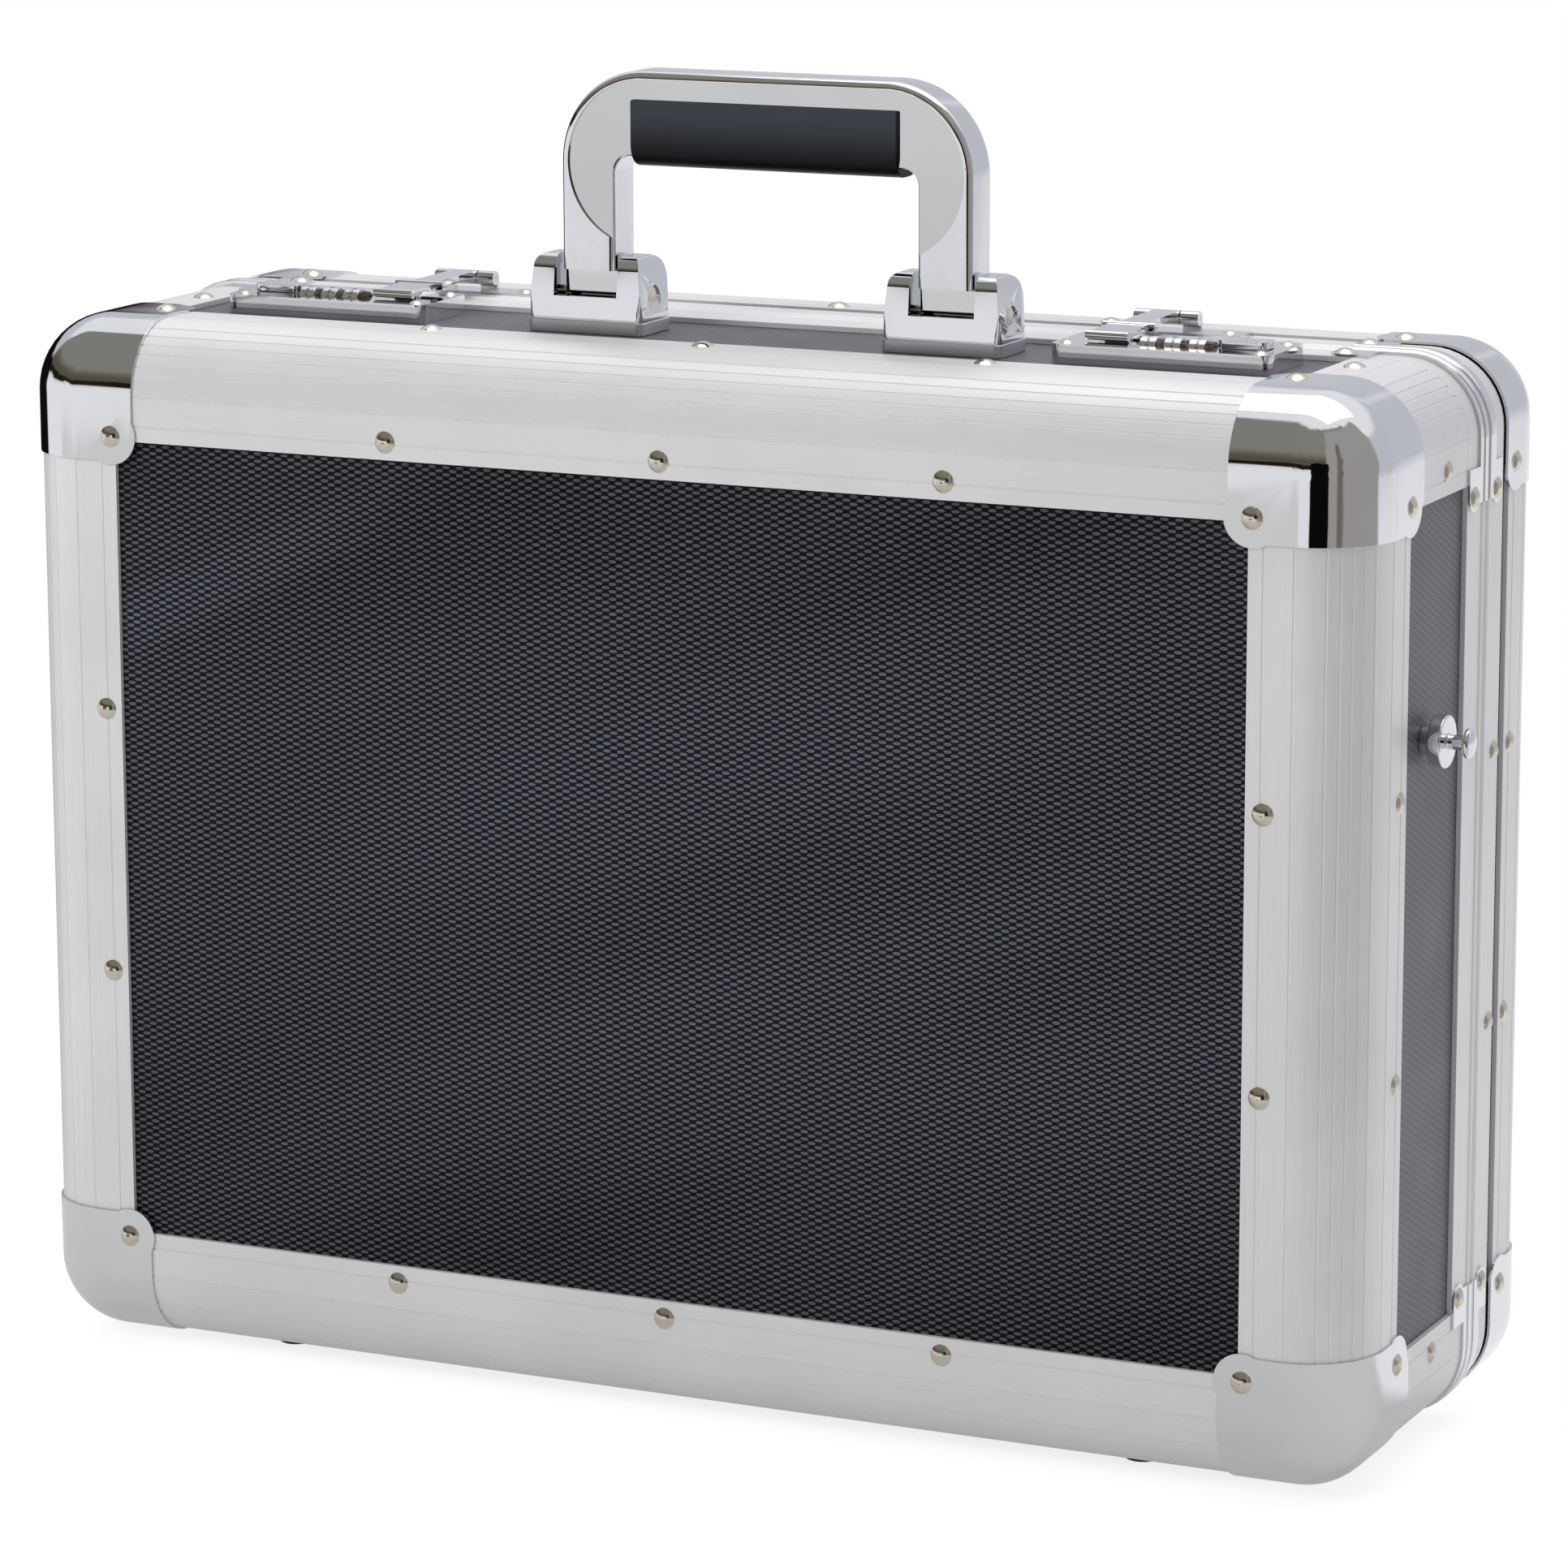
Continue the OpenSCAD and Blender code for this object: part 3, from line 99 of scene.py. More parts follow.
def camera_axes():
    """The camera's directions to the right, upwards and backwards."""
    azimuth, elevation, roll = (math.radians(a) for a in (VIEW_AZIMUTH, VIEW_ELEVATION, VIEW_ROLL))
    back = Vector((math.sin(azimuth) * math.cos(elevation),
                   -math.cos(azimuth) * math.cos(elevation),
                   math.sin(elevation)))
    right = Vector((math.cos(azimuth), math.sin(azimuth), 0))
    up = back.cross(right)
    across = right * math.cos(roll) + up * math.sin(roll)
    upward = up * math.cos(roll) - right * math.sin(roll)
    return across, upward, back


def add_camera():
    across, upward, back = camera_axes()
    shift = -across * VIEW_OFFSET[0] - upward * VIEW_OFFSET[1] + back * VIEW_DISTANCE
    place = row(0, 0, CASE_H / 2) + shift * MM
    turn = Matrix((across, upward, back)).transposed().to_4x4()
    camera = add_object("camera", bpy.data.cameras.new("camera"))
    camera.matrix_world = Matrix.Translation(place) @ turn
    camera.data.sensor_width = SENSOR_MM
    camera.data.lens = FOCAL_PX / IMAGE_PX * SENSOR_MM
    camera.data.clip_end = CLIP_END_M
    bpy.context.scene.camera = camera


# ---------------------------------------------------------------- material helpers
# First colour's socket, second colour's socket and output of a mix node, by its type of data
MIX_SOCKETS = {"RGBA": (6, 7, 2), "VECTOR": (4, 5, 1)}


class Nodes:
    """Builds the node tree of one material, or of the world, with short calls."""

    def __init__(self, name, owner=None):
        self.owner = owner or bpy.data.materials.new(name)
        self.owner.use_nodes = True
        self.tree = self.owner.node_tree
        self.shader = self.tree.nodes.get("Principled BSDF") or self.tree.nodes["Background"]

    def feed(self, node, key, value):
        """Links a socket to the node's input, or sets the input's value."""
        socket = node.inputs[key.replace("_", " ") if isinstance(key, str) else key]
        if isinstance(value, bpy.types.NodeSocket):
            self.tree.links.new(value, socket)
        else:
            socket.default_value = value

    def add(self, kind, *values, **inputs):
        """A new node: the values go to its first inputs in order, the others by their names."""
        node = self.tree.nodes.new("ShaderNode" + kind)
        for key, value in [*enumerate(values), *inputs.items()]:
            self.feed(node, key, value)
        return node

    def set(self, **inputs):
        for key, value in inputs.items():
            self.feed(self.shader, key, value)

    def math(self, operation, *values):
        node = self.add("Math", *values)
        node.operation = operation
        return node.outputs[0]

    def plus(self, first, second):
        return self.math("ADD", first, second)

    def minus(self, first, second):
        return self.math("SUBTRACT", first, second)

    def times(self, first, second):
        return self.math("MULTIPLY", first, second)

    def size(self, value):
        return self.math("ABSOLUTE", value)

    def here(self):
        """Object coordinates in millimetres, as one vector."""
        scaled = self.add("VectorMath", self.add("TexCoord").outputs["Object"])
        scaled.operation = "SCALE"
        self.feed(scaled, "Scale", 1 / MM)
        return scaled.outputs[0]

    def split(self, vector):
        return self.add("SeparateXYZ", vector).outputs[:3]

    def join(self, x, y, z):
        return self.add("CombineXYZ", x, y, z).outputs[0]

    def noise(self, vector, scale, detail=3.0, rough=0.55):
        node = self.add("TexNoise", Vector=vector, Scale=scale, Detail=detail, Roughness=rough)
        return node.outputs["Fac"]

    def ramp(self, value, low, high, to_low=0.0, to_high=1.0):
        """Passes smoothly from to_low to to_high while the value goes from low to high."""
        node = self.add("MapRange", value, low, high, to_low, to_high)
        node.interpolation_type = "SMOOTHSTEP"
        return node.outputs[0]

    def mix(self, factor, first, second, kind="RGBA"):
        node = self.add("Mix", factor)
        node.data_type = kind
        first_socket, second_socket, output = MIX_SOCKETS[kind]
        self.feed(node, first_socket, first)
        self.feed(node, second_socket, second)
        return node.outputs[output]

    def bump(self, height, depth, strength):
        """Raises the surface with the height, by the depth in millimetres."""
        node = self.add("Bump", Height=height, Strength=strength, Distance=depth * MM)
        self.feed(self.shader, "Normal", node.outputs[0])


def srgb(r, g, b):
    """Linear colour of an sRGB triple from 0 to 255."""
    def line(v):
        v /= 255
        return v / 12.92 if v <= 0.04045 else ((v + 0.055) / 1.055) ** 2.4
    return (line(r), line(g), line(b), 1.0)


def shade(colour, share):
    return tuple(share * c for c in colour)


# ---------------------------------------------------------------- materials
# How much slower the drawn metal's streaks change along a profile than across it
DRAWN = 0.012


def aluminium():
    """Metal drawn lengthwise: fine streaks along each profile, and broad faint clouds."""
    m = Nodes("aluminium")
    x, y, z = m.split(m.here())
    # the nearer of the side edges and the top or bottom edges tells which way a profile runs
    from_side = m.minus(CASE_W / 2, m.size(x))
    from_ends = m.minus(CASE_H / 2, m.size(m.minus(z, CASE_H / 2 + GLIDE_H)))
    runs_across = m.math("LESS_THAN", from_ends, from_side)
    along_x = m.join(m.times(x, DRAWN), y, z)
    along_z = m.join(x, y, m.times(z, DRAWN))
    drawn = m.mix(runs_across, along_z, along_x, "VECTOR")
    streaks = m.noise(drawn, scale=2.2, detail=4.0, rough=0.7)
    clouds = m.noise(m.here(), scale=0.02, detail=2.0)
    tone = m.plus(m.times(streaks, 0.5), m.times(clouds, 0.5))
    m.set(Metallic=0.3,
          Base_Color=m.mix(m.ramp(tone, 0.3, 0.7), srgb(235, 235, 236), srgb(245, 245, 246)),
          Roughness=m.ramp(streaks, 0.25, 0.75, 0.4, 0.5))
    m.bump(streaks, depth=0.02, strength=0.35)
    return m.owner


def chrome(name="chrome", smooth=0.03, rough=0.06, colour=(226, 227, 229)):
    """Plated metal between two roughnesses, with faint smears and slow waves."""
    m = Nodes(name)
    smears = m.noise(m.here(), scale=0.02, detail=2.0)
    tarnish = m.noise(m.here(), scale=0.03, detail=2.0)
    dull = shade(colour, 0.985)
    m.set(Metallic=1.0,
          Base_Color=m.mix(m.ramp(tarnish, 0.35, 0.7), srgb(*colour), srgb(*dull)),
          Roughness=m.ramp(smears, 0.35, 0.7, smooth, rough))
    m.bump(m.noise(m.here(), scale=0.03, detail=1.0), depth=0.4, strength=0.12)
    return m.owner


def nickel():
    """Warm plating of the rivets."""
    m = Nodes("nickel")
    wear = m.noise(m.here(), scale=0.5, detail=4.0)
    m.set(Metallic=1.0, Base_Color=m.mix(wear, srgb(226, 219, 206), srgb(196, 188, 176)),
          Roughness=m.ramp(wear, 0.3, 0.7, 0.10, 0.22))
    return m.owner


def dial_wheel():
    """Brown bronze of the dials' gripping rims."""
    m = Nodes("dial_wheel")
    grime = m.noise(m.here(), scale=0.9)
    m.set(Metallic=1.0,
          Base_Color=m.mix(m.ramp(grime, 0.35, 0.65), srgb(86, 68, 62), srgb(140, 126, 122)),
          Roughness=m.ramp(grime, 0.3, 0.7, 0.2, 0.34))
    return m.owner


def numeral_paint():
    m = Nodes("numeral_paint")
    worn = m.noise(m.here(), scale=1.6)
    m.set(Base_Color=m.mix(m.ramp(worn, 0.4, 0.7), srgb(58, 40, 34), srgb(96, 74, 64)),
          Roughness=0.45)
    return m.owner


# The embossed weave, in millimetres: dashes along a row, every second row shifted by half a pitch
DASH_PITCH, DASH_ROW = 4.8, 1.17
# A dash's share of its pitch and of its row, and the powers that make it a lens with blunt ends
DASH_LONG, DASH_TALL = 0.56, 0.92
DASH_ENDS, DASH_SIDES = 2.6, 2.2


def dashes(m, u, v):
    """Mask of staggered lens-shaped dashes over the plane coordinates u and v."""
    def off_centre(value, share):
        """Distance from the middle of a repeat, which is 1 at the dash's edge."""
        return m.size(m.math("DIVIDE", m.minus(m.math("FRACT", value), 0.5), share / 2))

    line = m.math("DIVIDE", v, DASH_ROW)
    odd = m.math("FLOORED_MODULO", m.math("FLOOR", line), 2.0)
    along = m.plus(m.math("DIVIDE", u, DASH_PITCH), m.times(odd, 0.5))
    reach = m.plus(m.math("POWER", off_centre(along, DASH_LONG), DASH_ENDS),
                   m.math("POWER", off_centre(line, DASH_TALL), DASH_SIDES))
    return m.ramp(reach, 0.55, 1.35, 1.0, 0.0)


# Heights in millimetres of the panel's painted lighter belt, and of its painted slanting streak
# over the middle
PAINTED_BELT_AT, PAINTED_STREAK_AT = 175.0, 333.0
# Rise of the painted streak and of the painted broad zones towards the right
PAINTED_STREAK_SLOPE, PAINTED_ZONE_SLOPE = 0.48, 0.42


def panel_sheen(m):
    """Painted sheen on the front panel: broad soft lights painted into its colour, as a sheet that
    isn't quite flat would show them.
    """
    x, y, z = m.split(m.here())
    leaning = m.join(m.times(x, 0.25), y, m.minus(z, m.times(x, PAINTED_ZONE_SLOPE)))
    painted_zones = m.noise(leaning, scale=0.016, detail=1.0)
    painted_belt = m.ramp(m.size(m.minus(z, PAINTED_BELT_AT)), 30.0, 140.0, 1.0, 0.0)
    off_streak = m.size(m.minus(m.minus(z, m.times(x, PAINTED_STREAK_SLOPE)), PAINTED_STREAK_AT))
    left_part = m.ramp(x, -130.0, -70.0, 1.0, 0.0)
    painted_streak = m.times(m.ramp(off_streak, 3.0, 15.0, 1.0, 0.0), left_part)
    painted_sheen = m.plus(m.times(m.ramp(painted_zones, 0.36, 0.66), 0.3), m.times(painted_belt, 0.5))
    painted_sheen = m.plus(painted_sheen, m.times(painted_streak, 0.4))
    return m.math("MINIMUM", painted_sheen, 1.0)


def panel_weave():
    """The front and rear panels: dark embossed sheet with paler dashes."""
    m = Nodes("panel_weave")
    x, _, z = m.split(m.here())
    mask = dashes(m, x, z)
    grain = m.noise(m.here(), scale=0.35)
    painted_sheen = panel_sheen(m)
    dim = m.mix(m.ramp(grain, 0.3, 0.7), srgb(74, 77, 84), srgb(86, 89, 96))
    # The dashes and the dark ground are painted paler where the painted sheen falls.
    dash = m.mix(painted_sheen, dim, srgb(112, 115, 124))
    ground = m.mix(painted_sheen, srgb(5, 5, 7), srgb(27, 29, 37))
    m.set(Base_Color=m.mix(mask, ground, dash), Roughness=m.ramp(mask, 0.0, 1.0, 0.5, 0.4),
          Specular_IOR_Level=0.1)
    m.bump(mask, depth=0.1, strength=0.35)
    return m.owner


def panel_side():
    """The side panels: the same sheet, painted in a paler tone as painted sheen of the sheet seen
    at a slant.
    """
    m = Nodes("panel_side")
    x, y, z = m.split(m.here())
    mask = dashes(m, m.plus(x, y), z)
    grain = m.noise(m.here(), scale=1.2)
    cloud = m.noise(m.here(), scale=0.03, detail=2.0)
    tone = m.plus(m.times(grain, 0.35), m.times(cloud, 0.4))
    tone = m.plus(tone, m.times(mask, 0.22))
    # Painted sheen: these greys are far paler than the front panel's dark ground of the same sheet.
    m.set(Base_Color=m.mix(m.ramp(tone, 0.25, 0.75), srgb(86, 85, 93), srgb(124, 122, 131)),
          Roughness=m.ramp(grain, 0.3, 0.7, 0.38, 0.48), Specular_IOR_Level=0.35)
    m.bump(mask, depth=0.06, strength=0.3)
    return m.owner


def rubber(colour=(42, 42, 44)):
    """Dull dark rubber."""
    m = Nodes("rubber")
    grain = m.noise(m.here(), scale=0.8)
    m.set(Base_Color=m.mix(grain, srgb(*shade(colour, 0.8)), srgb(*colour)),
          Roughness=m.ramp(grain, 0.3, 0.7, 0.6, 0.72), Specular_IOR_Level=0.5)
    m.bump(grain, depth=0.1, strength=0.5)
    return m.owner


# Heights in millimetres between which the grip's rubber is painted paler, as a painted highlight on
# its upper half
GRIP_LOW, GRIP_TOP = 392.0, 411.0


def grip_rubber():
    """Black moulded rubber, with a painted highlight that makes its upper half paler."""
    m = Nodes("grip")
    grain = m.noise(m.here(), scale=1.5)
    height = m.split(m.here())[2]
    # Painted highlight: slate grey above, black below, by height.
    painted_highlight = m.ramp(m.plus(height, m.times(grain, 3.0)), GRIP_LOW, GRIP_TOP)
    m.set(Base_Color=m.mix(painted_highlight, srgb(5, 5, 6), srgb(66, 70, 77)),
          Roughness=m.ramp(grain, 0.3, 0.7, 0.3, 0.4), Specular_IOR_Level=0.12)
    m.bump(grain, depth=0.03, strength=0.5)
    return m.owner


# Width of one loop of the lining's knit, in millimetres
KNIT_LOOP = 1.1


def lining_cloth():
    """Close grey knit over foam."""
    m = Nodes("lining_cloth")
    x, y, z = m.split(m.here())
    across = m.math("SINE", m.times(m.plus(x, y), 2 * math.pi / KNIT_LOOP))
    upward = m.math("SINE", m.times(z, 2 * math.pi / KNIT_LOOP))
    knit = m.ramp(m.times(across, upward), -0.6, 0.9)
    fuzz = m.noise(m.here(), scale=1.4, detail=4.0)
    tone = m.plus(m.times(knit, 0.5), m.times(fuzz, 0.5))
    m.set(Base_Color=m.mix(tone, srgb(44, 44, 48), srgb(92, 92, 97)), Roughness=0.9,
          Sheen_Weight=0.35, Sheen_Roughness=0.5, Specular_IOR_Level=0.2)
    m.bump(tone, depth=0.3, strength=0.5)
    return m.owner


MATERIALS = {
    "aluminium": aluminium(),
    "chrome": chrome(),
    "nickel": nickel(),
    "panel_weave": panel_weave(),
    "panel_side": panel_side(),
    "rubber": rubber(),
    "grip": grip_rubber(),
    "foam": lining_cloth(),
}
WHEEL, NUMERAL = dial_wheel(), numeral_paint()
SATIN = chrome("chrome_satin", 0.3, 0.42, (222, 223, 225))
# Darker chrome of the bail's recessed faces: painted shade in the recesses.
PAINTED_RECESS_SHADE = chrome("chrome_painted_recess_shade", 0.08, 0.14, (206, 206, 206))
SLOT_OF = {part["node"]: part["material_slot"] for part in frame["record"]["subparts"]}


def dress_cad():
    for name, obj in frame["nodes"].items():
        obj.data.materials.clear()
        obj.data.materials.append(MATERIALS[SLOT_OF[name]])


# ---------------------------------------------------------------- softened pieces
# Points of a solid nearer than this, in millimetres, are one point; faces that meet at less than
# this angle, in degrees, are one face
SEAM, FLAT = 0.002, 0.6
# Edges sharper than this angle, in degrees, are rounded and shaded as edges
CREASE = 28

# Radius in millimetres that each pressed or cast piece has along its edges
EDGE_ROUND = {
    "handle_feet": 0.7, "handle_foot_plates": 0.4, "handle_grip": 0.7,
    "lock_plate_left": 0.7, "lock_plate_right": 0.7,
    "slide_button_left": 0.9, "slide_button_right": 0.9,
    "hasp_left": 0.8, "hasp_right": 0.8, "hasp_brackets": 0.5,
    "front_corner_caps": 0.3, "rear_corner_caps": 0.3,
    "strap_studs": 0.35, "handle_bail": 0.25,
}
# The bail's recessed faces lie this far in from its front and back, in millimetres
RECESS_DEPTH, RECESS_SLACK = 0.8, 0.25
# A face turned to the front or the back has more than this of its normal along the depth
NORMAL_ALONG = 0.95


def joined_mesh(node):
    """The node's mesh as a new bmesh with its seams closed."""
    bm = bmesh.new()
    bm.from_mesh(frame["nodes"][node].data)
    bmesh.ops.remove_doubles(bm, verts=bm.verts, dist=SEAM * MM)
    return bm


def plain_mesh(bm, name, crease=CREASE):
    """A mesh of the bmesh's shape alone, smooth except at edges sharper than the crease angle."""
    bm.verts.ensure_lookup_table()
    bm.verts.index_update()
    mesh = bpy.data.meshes.new(name)
    mesh.from_pydata([v.co for v in bm.verts], [], [[v.index for v in f.verts] for f in bm.faces])
    bm.free()
    mesh.polygons.foreach_set("use_smooth", [True] * len(mesh.polygons))
    mesh.set_sharp_from_angle(angle=math.radians(crease))
    return mesh


def body_of(node):
    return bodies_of(frame["nodes"][node])[0]


def stand_for(node, mesh, materials):
    """An object of this mesh that stands for the node on its body."""
    obj = add_object(node + "_finish", mesh)
    for material in materials:
        mesh.materials.append(material)
    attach(obj, body_of(node))
    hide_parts(node)
    return obj


def soften(node, width, materials, angle=CREASE):
    """Stands for the node with its sharp edges rounded by width, in millimetres."""
    bm = joined_mesh(node)
    bmesh.ops.dissolve_limit(bm, angle_limit=math.radians(FLAT), verts=bm.verts, edges=bm.edges)
    obj = stand_for(node, plain_mesh(bm, node + "_finish"), materials)
    bevel = obj.modifiers.new("round", "BEVEL")
    bevel.width = width * MM
    bevel.segments = 2
    bevel.limit_method = "ANGLE"
    bevel.angle_limit = math.radians(angle)
    bevel.harden_normals = True
    return obj


def mark_recess(bail):
    """Gives the bail's recessed front and back faces a darker chrome, as painted shade in the
    recesses.
    """
    low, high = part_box("handle_bail")
    bail.data.materials.append(PAINTED_RECESS_SHADE)
    for face in bail.data.polygons:
        depth = min(face.center.y - low.y, high.y - face.center.y) / MM
        if abs(face.normal.y) > NORMAL_ALONG and abs(depth - RECESS_DEPTH) < RECESS_SLACK:
            face.material_index = 1


def finish_softened():
    softened = {node: soften(node, width, [MATERIALS[SLOT_OF[node]]])
                for node, width in EDGE_ROUND.items()}
    softened["handle_foot_plates"].data.materials[0] = SATIN
    mark_recess(softened["handle_bail"])


# ---------------------------------------------------------------- dials
# A dial in millimetres: its chrome drum, and its axis behind the front plane and above the bottom
DRUM_R, DRUM_W, DIAL_AXIS = 4.2, 5.2, (62.5, 338.65)
# Its rounded edges, with the angle in degrees from which an edge counts
DIAL_ROUND, DIAL_CREASE = 0.15, 30
# The rim's faces have their middles at least this far past the drum's end
RIM_PAST_DRUM = 0.02
# A numeral: its height, how far it stands out of the drum and how deep it reaches in
DIGIT_H, DIGIT_RAISE, DIGIT_SINK = 2.0, 0.03, 0.05
# Height of a digit in a text of size 1
DIGIT_SHARE = 0.7


def text_mesh(text):
    """A thin slab in the shape of the text, as a bmesh in millimetres, centred on the origin."""
    curve = bpy.data.curves.new("digit", "FONT")
    curve.body = text
    curve.size = DIGIT_H / DIGIT_SHARE
    curve.align_x, curve.align_y = "CENTER", "CENTER"
    curve.extrude = 0.5
    curve.resolution_u = 4
    obj = add_object("digit", curve)
    bpy.context.view_layer.update()
    mesh = bpy.data.meshes.new_from_object(obj.evaluated_get(bpy.context.evaluated_depsgraph_get()))
    bm = bmesh.new()
    bm.from_mesh(mesh)
    bpy.data.objects.remove(obj)
    bpy.data.curves.remove(curve)
    bpy.data.meshes.remove(mesh)
    return bm


def digit_shape(digit):
    """Points and triangles of a numeral's closed slab, fine enough to bend round the drum."""
    bm = text_mesh(str(digit))
    bmesh.ops.remove_doubles(bm, verts=bm.verts, dist=1e-4)
    long_edges = [e for e in bm.edges
                  if e.calc_length() > DIGIT_H / 4 and abs(e.verts[0].co.z - e.verts[1].co.z) < 0.1]
    bmesh.ops.subdivide_edges(bm, edges=long_edges, cuts=2)
    bmesh.ops.triangulate(bm, faces=bm.faces)
    bm.verts.index_update()
    middle = sum((v.co for v in bm.verts), Vector()) / len(bm.verts)
    points = [v.co - Vector((middle.x, middle.y, 0)) for v in bm.verts]
    faces = [[v.index for v in f.verts] for f in bm.faces]
    bm.free()
    return points, faces


def on_drum(point, turn, left):
    """Wraps a numeral's point round the drum whose left end is at x = left."""
    axis = row(0, *DIAL_AXIS)
    angle = turn + point.y / DRUM_R
    radius = DRUM_R + (DIGIT_RAISE if point.z > 0 else -DIGIT_SINK)
    return Vector((left + (DRUM_W / 2 + point.x) * MM,
                   axis.y + radius * math.sin(angle) * MM,
                   axis.z + radius * math.cos(angle) * MM))


def add_numerals(node, digits, left):
    """Rides the numerals round one dial's drum on the dial's body."""
    points, faces = [], []
    for place, (outline, corners) in enumerate(digits):
        turn = 2 * math.pi * place / len(digits)
        faces += [[len(points) + i for i in face] for face in corners]
        points += [on_drum(p, turn, left) for p in outline]
    mesh = bpy.data.meshes.new(node + "_numerals")
    mesh.from_pydata(points, [], faces)
    mesh.materials.append(NUMERAL)
    numerals = add_object(node + "_numerals", mesh)
    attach(numerals, body_of(node))


def finish_dials():
    digits = [digit_shape(digit) for digit in range(10)]
    for node in list(frame["nodes"]):
        if node.startswith("dial_") and node != "dial_spindles":
            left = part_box(node)[0].x
            dial = soften(node, DIAL_ROUND, [MATERIALS["chrome"], WHEEL], DIAL_CREASE)
            for face in dial.data.polygons:
                face.material_index = int(face.center.x > left + (DRUM_W + RIM_PAST_DRUM) * MM)
            add_numerals(node, digits, left)


# ---------------------------------------------------------------- lining
# A lining's panel in millimetres: the width of its rolled edge and the step of its mesh; at its
# edge it keeps this share of its thickness
ROLL_W, LINING_STEP, ROLL_KEEP = 9.0, 4.0, 0.55
FEWEST_STEPS = 8
LINING_CREASE = 50
# Depth of the inside's middle behind the front plane, to which every padded face is turned
INSIDE_Y = 100.0


def islands(bm):
    """The sets of joined vertices of the bmesh."""
    left = set(bm.verts)
    found = []
    while left:
        island, front = set(), [left.pop()]
        while front:
            vertex = front.pop()
            island.add(vertex)
            near = {edge.other_vert(vertex) for edge in vertex.link_edges} & left
            left -= near
            front += near
        found.append(island)
    return found


def panel_boxes(node):
    """The lowest and highest corners of each of the node's panels, from the left on."""
    bm = joined_mesh(node)
    boxes = [(Vector([min(v.co[i] for v in island) for i in range(3)]),
              Vector([max(v.co[i] for v in island) for i in range(3)])) for island in islands(bm)]
    bm.free()
    return sorted(boxes, key=lambda box: tuple(box[0]))


def roll_off(margin):
    """The share of its thickness that a panel loses this far, in millimetres, inside its edge."""
    share = max(0.0, 1 - margin / ROLL_W)
    return (1 - ROLL_KEEP) * share * share


def slab_faces(rows, columns, start):
    """Faces of a closed slab between two grids of points, the outer grid first."""
    def at(i, j, inner):
        return start + i * (columns + 1) + j + (rows + 1) * (columns + 1) * inner

    faces = [[at(i, j, side), at(i + 1, j, side), at(i + 1, j + 1, side), at(i, j + 1, side)]
             for i in range(rows) for j in range(columns) for side in (0, 1)]
    faces += [[at(i, j, 0), at(i + 1, j, 0), at(i + 1, j, 1), at(i, j, 1)]
              for i in range(rows) for j in (0, columns)]
    faces += [[at(i, j, 0), at(i, j + 1, 0), at(i, j + 1, 1), at(i, j, 1)]
              for j in range(columns) for i in (0, rows)]
    return faces


def add_foam_panel(points, faces, low, high, middle):
    """Adds one crowned panel in the box from low to high, its padded face towards the middle."""
    size = high - low
    thin = min(range(3), key=lambda i: size[i])
    wide = [i for i in range(3) if i != thin]
    rows, columns = [max(FEWEST_STEPS, int(size[i] / MM / LINING_STEP)) for i in wide]
    inner_is_high = (low[thin] + high[thin]) / 2 < middle[thin]
    faces += slab_faces(rows, columns, len(points))
    for inner in (False, True):
        for i in range(rows + 1):
            for j in range(columns + 1):
                p = Vector(low)
                p[wide[0]] += size[wide[0]] * i / rows
                p[wide[1]] += size[wide[1]] * j / columns
                p[thin] = high[thin] if inner == inner_is_high else low[thin]
                if inner:
                    margin = min(min(p[k] - low[k], high[k] - p[k]) for k in wide) / MM
                    fall = roll_off(margin) * size[thin]
                    p[thin] += -fall if inner_is_high else fall
                points.append(p)


def finish_lining(node):
    """Stands for the lining with crowned panels, as one padded piece."""
    low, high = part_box(node)
    middle = (low + high) / 2
    middle.y = row(0, INSIDE_Y, 0).y
    points, faces = [], []
    for panel_low, panel_high in panel_boxes(node):
        add_foam_panel(points, faces, panel_low, panel_high, middle)
    draft = bpy.data.meshes.new("draft")
    draft.from_pydata(points, [], faces)
    bm = bmesh.new()
    bm.from_mesh(draft)
    bpy.data.meshes.remove(draft)
    bmesh.ops.recalc_face_normals(bm, faces=bm.faces)
    obj = stand_for(node, plain_mesh(bm, node + "_finish", LINING_CREASE), [MATERIALS["foam"]])


# ---------------------------------------------------------------- floor and light
# Lengths in metres: the table, the lamps' places and sizes, and the point at which they aim
FLOOR_R, FLOOR_SIDES = 1.0, 96
AIM = (0, 0, 0.2)
KEY_PLACE, KEY_SIZE, KEY_WATTS = (-0.9, -1.6, 1.5), (1.2, 1.2), 17
TOP_PLACE, TOP_SIZE, TOP_WATTS = (0.1, 0.3, 2.0), (1.6, 1.2), 8

# Millimetres between which the floor fades out: from its centre, and behind the base, because the
# open lid reaches below the level that it stands on
FLOOR_RIM, FLOOR_BACK = (620.0, 980.0), (20.0, 50.0)
# The floor as other things see it, and as the camera and polished metal see it
FLOOR_LIT, FLOOR_SEEN = (0.82, 0.82, 0.82, 1), (0.4, 0.4, 0.4, 1)
CAMERA_GLOW, GLOSSY_GLOW = 0.78, 0.34

# What polished metal sees round the case: zones from a left to a right azimuth and from a low to
# a high elevation in degrees, their edge's width and their grey. Azimuth is 0 in front of the case
# and grows to its right.
ZONES = (
    (-62, -8, -50, -7, 3, srgb(222, 223, 223)),
    (-180, -98, -6, 34, 10, srgb(204, 205, 213)),
    (98, 180, -6, 34, 10, srgb(204, 205, 213)),
    (-104, 80, 11, 64, 4, srgb(140, 137, 131)),
    (-104, 80, 9, 24, 14, srgb(92, 86, 74)),
    (-104, 80, 7, 13, 2, srgb(36, 28, 18)),
    (28, 108, -40, 60, 5, srgb(164, 161, 158)),
    (44, 52, -40, 40, 3, srgb(118, 112, 106)),
    (-150, -98, -16, 14, 4, srgb(16, 15, 15)),
    (7, 32, -15, 15, 2, srgb(14, 12, 11)),
)
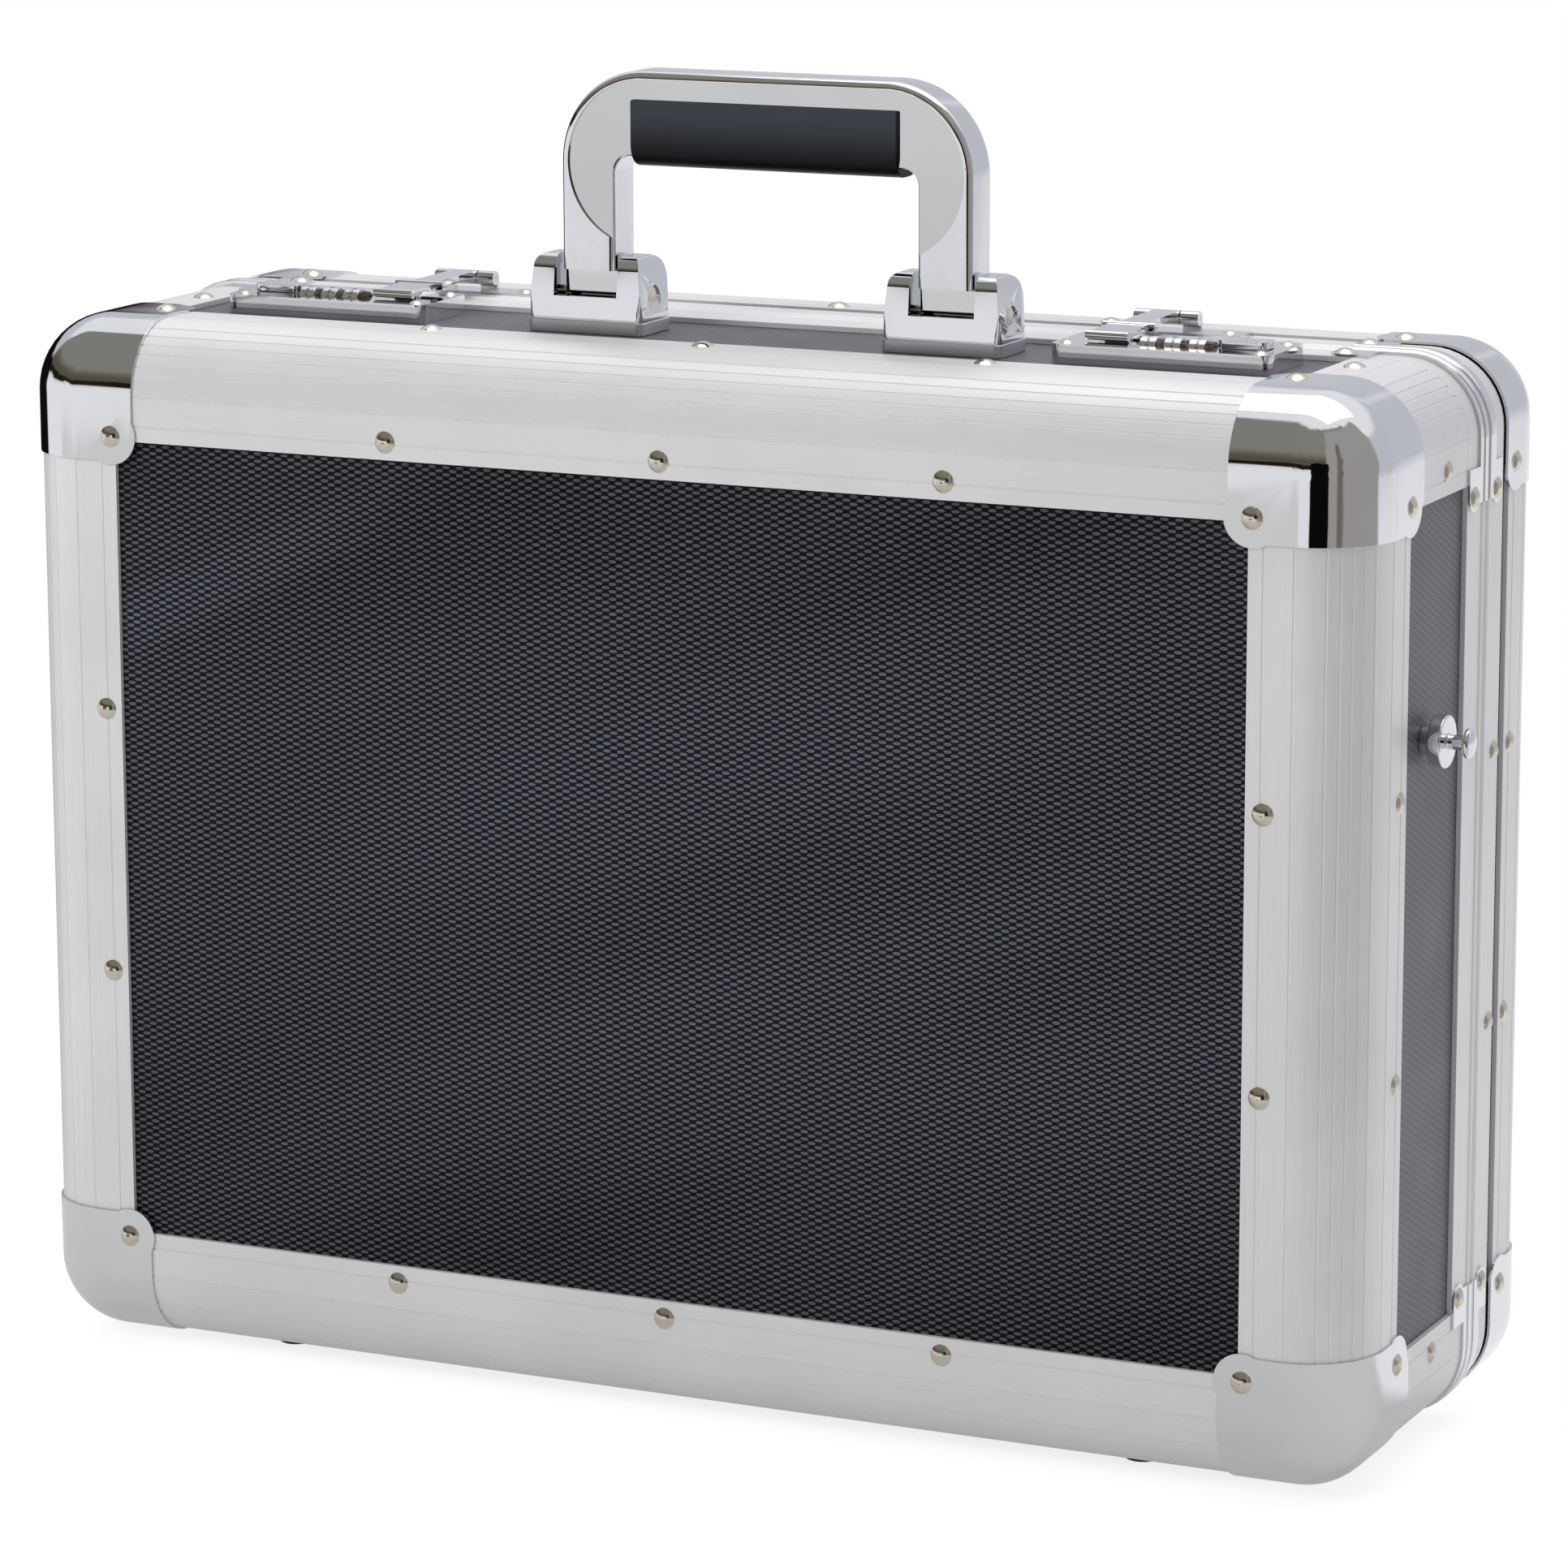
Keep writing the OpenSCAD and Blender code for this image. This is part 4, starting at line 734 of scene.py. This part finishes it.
ROOM = srgb(246, 247, 250)
WHITE = (1, 1, 1, 1)
# The zones' edges wander by up to half of these degrees
WAVE_SCALE, WAVE_DEGREES = 5.0, 9.0


def add_area(name, place, size, power):
    """A rectangular lamp that aims at the case."""
    light = bpy.data.lights.new(name, "AREA")
    light.shape = "RECTANGLE"
    light.size, light.size_y = size
    light.energy = power
    obj = add_object(name, light)
    obj.location = place
    obj.rotation_euler = (Vector(AIM) - Vector(place)).to_track_quat("-Z", "Y").to_euler()
    return obj


def sky_angles(w):
    """Azimuth and elevation in degrees of the direction looked at, both a little wavy."""
    way = w.add("TexCoord").outputs["Generated"]
    right, back, up = w.split(way)
    shift = w.times(w.minus(w.noise(way, WAVE_SCALE), 0.5), WAVE_DEGREES)
    azimuth = w.times(w.math("ARCTAN2", right, w.times(back, -1.0)), math.degrees(1))
    elevation = w.times(w.math("ARCSINE", up), math.degrees(1))
    return w.plus(azimuth, shift), w.plus(elevation, shift)


def studio_world():
    """White for the camera, and a studio with dark zones for everything else."""
    world = bpy.data.worlds.new("studio")
    bpy.context.scene.world = world
    w = Nodes("studio", world)
    azimuth, elevation = sky_angles(w)

    def inside(value, low, high, edge):
        return w.times(w.ramp(value, low - edge / 2, low + edge / 2),
                       w.ramp(value, high - edge / 2, high + edge / 2, 1.0, 0.0))

    colour = ROOM
    for left, right, low, high, edge, grey in ZONES:
        mask = w.times(inside(azimuth, left, right, edge), inside(elevation, low, high, edge))
        colour = w.mix(mask, colour, grey)
    camera = w.add("LightPath").outputs["Is Camera Ray"]
    w.set(Color=w.mix(camera, colour, WHITE), Strength=1.0)


def floor_material():
    """White for the camera, grey for polished metal, and clear beyond the fading edges."""
    m = Nodes("floor")
    x, y, _ = m.split(m.here())
    radius = m.math("SQRT", m.plus(m.times(x, x), m.times(y, y)))
    path = m.add("LightPath").outputs
    camera, glossy = path["Is Camera Ray"], path["Is Glossy Ray"]
    seen = m.math("MAXIMUM", camera, glossy)
    m.set(Base_Color=m.mix(seen, FLOOR_LIT, FLOOR_SEEN), Roughness=0.8, Specular_IOR_Level=0.0,
          Emission_Color=WHITE,
          Emission_Strength=m.plus(m.times(camera, CAMERA_GLOW), m.times(glossy, GLOSSY_GLOW)),
          Alpha=m.times(m.ramp(radius, *FLOOR_RIM, 1.0, 0.0), m.ramp(y, *FLOOR_BACK, 1.0, 0.0)))
    return m.owner


def add_floor():
    """A round table that keeps the case's shadow."""
    turns = [2 * math.pi * i / FLOOR_SIDES for i in range(FLOOR_SIDES)]
    mesh = bpy.data.meshes.new("floor")
    mesh.from_pydata([(FLOOR_R * math.cos(a), FLOOR_R * math.sin(a), 0) for a in turns], [],
                     [list(range(FLOOR_SIDES))])
    mesh.materials.append(floor_material())
    floor = add_object("floor", mesh)


def add_studio():
    key = add_area("key", KEY_PLACE, KEY_SIZE, KEY_WATTS)
    key.visible_glossy = False
    add_area("top", TOP_PLACE, TOP_SIZE, TOP_WATTS)
    add_floor()
    studio_world()


add_camera()
dress_cad()
finish_softened()
finish_dials()
for lining in ("base_lining", "lid_lining"):
    finish_lining(lining)
add_studio()
bpy.context.scene.view_settings.view_transform = "Standard"
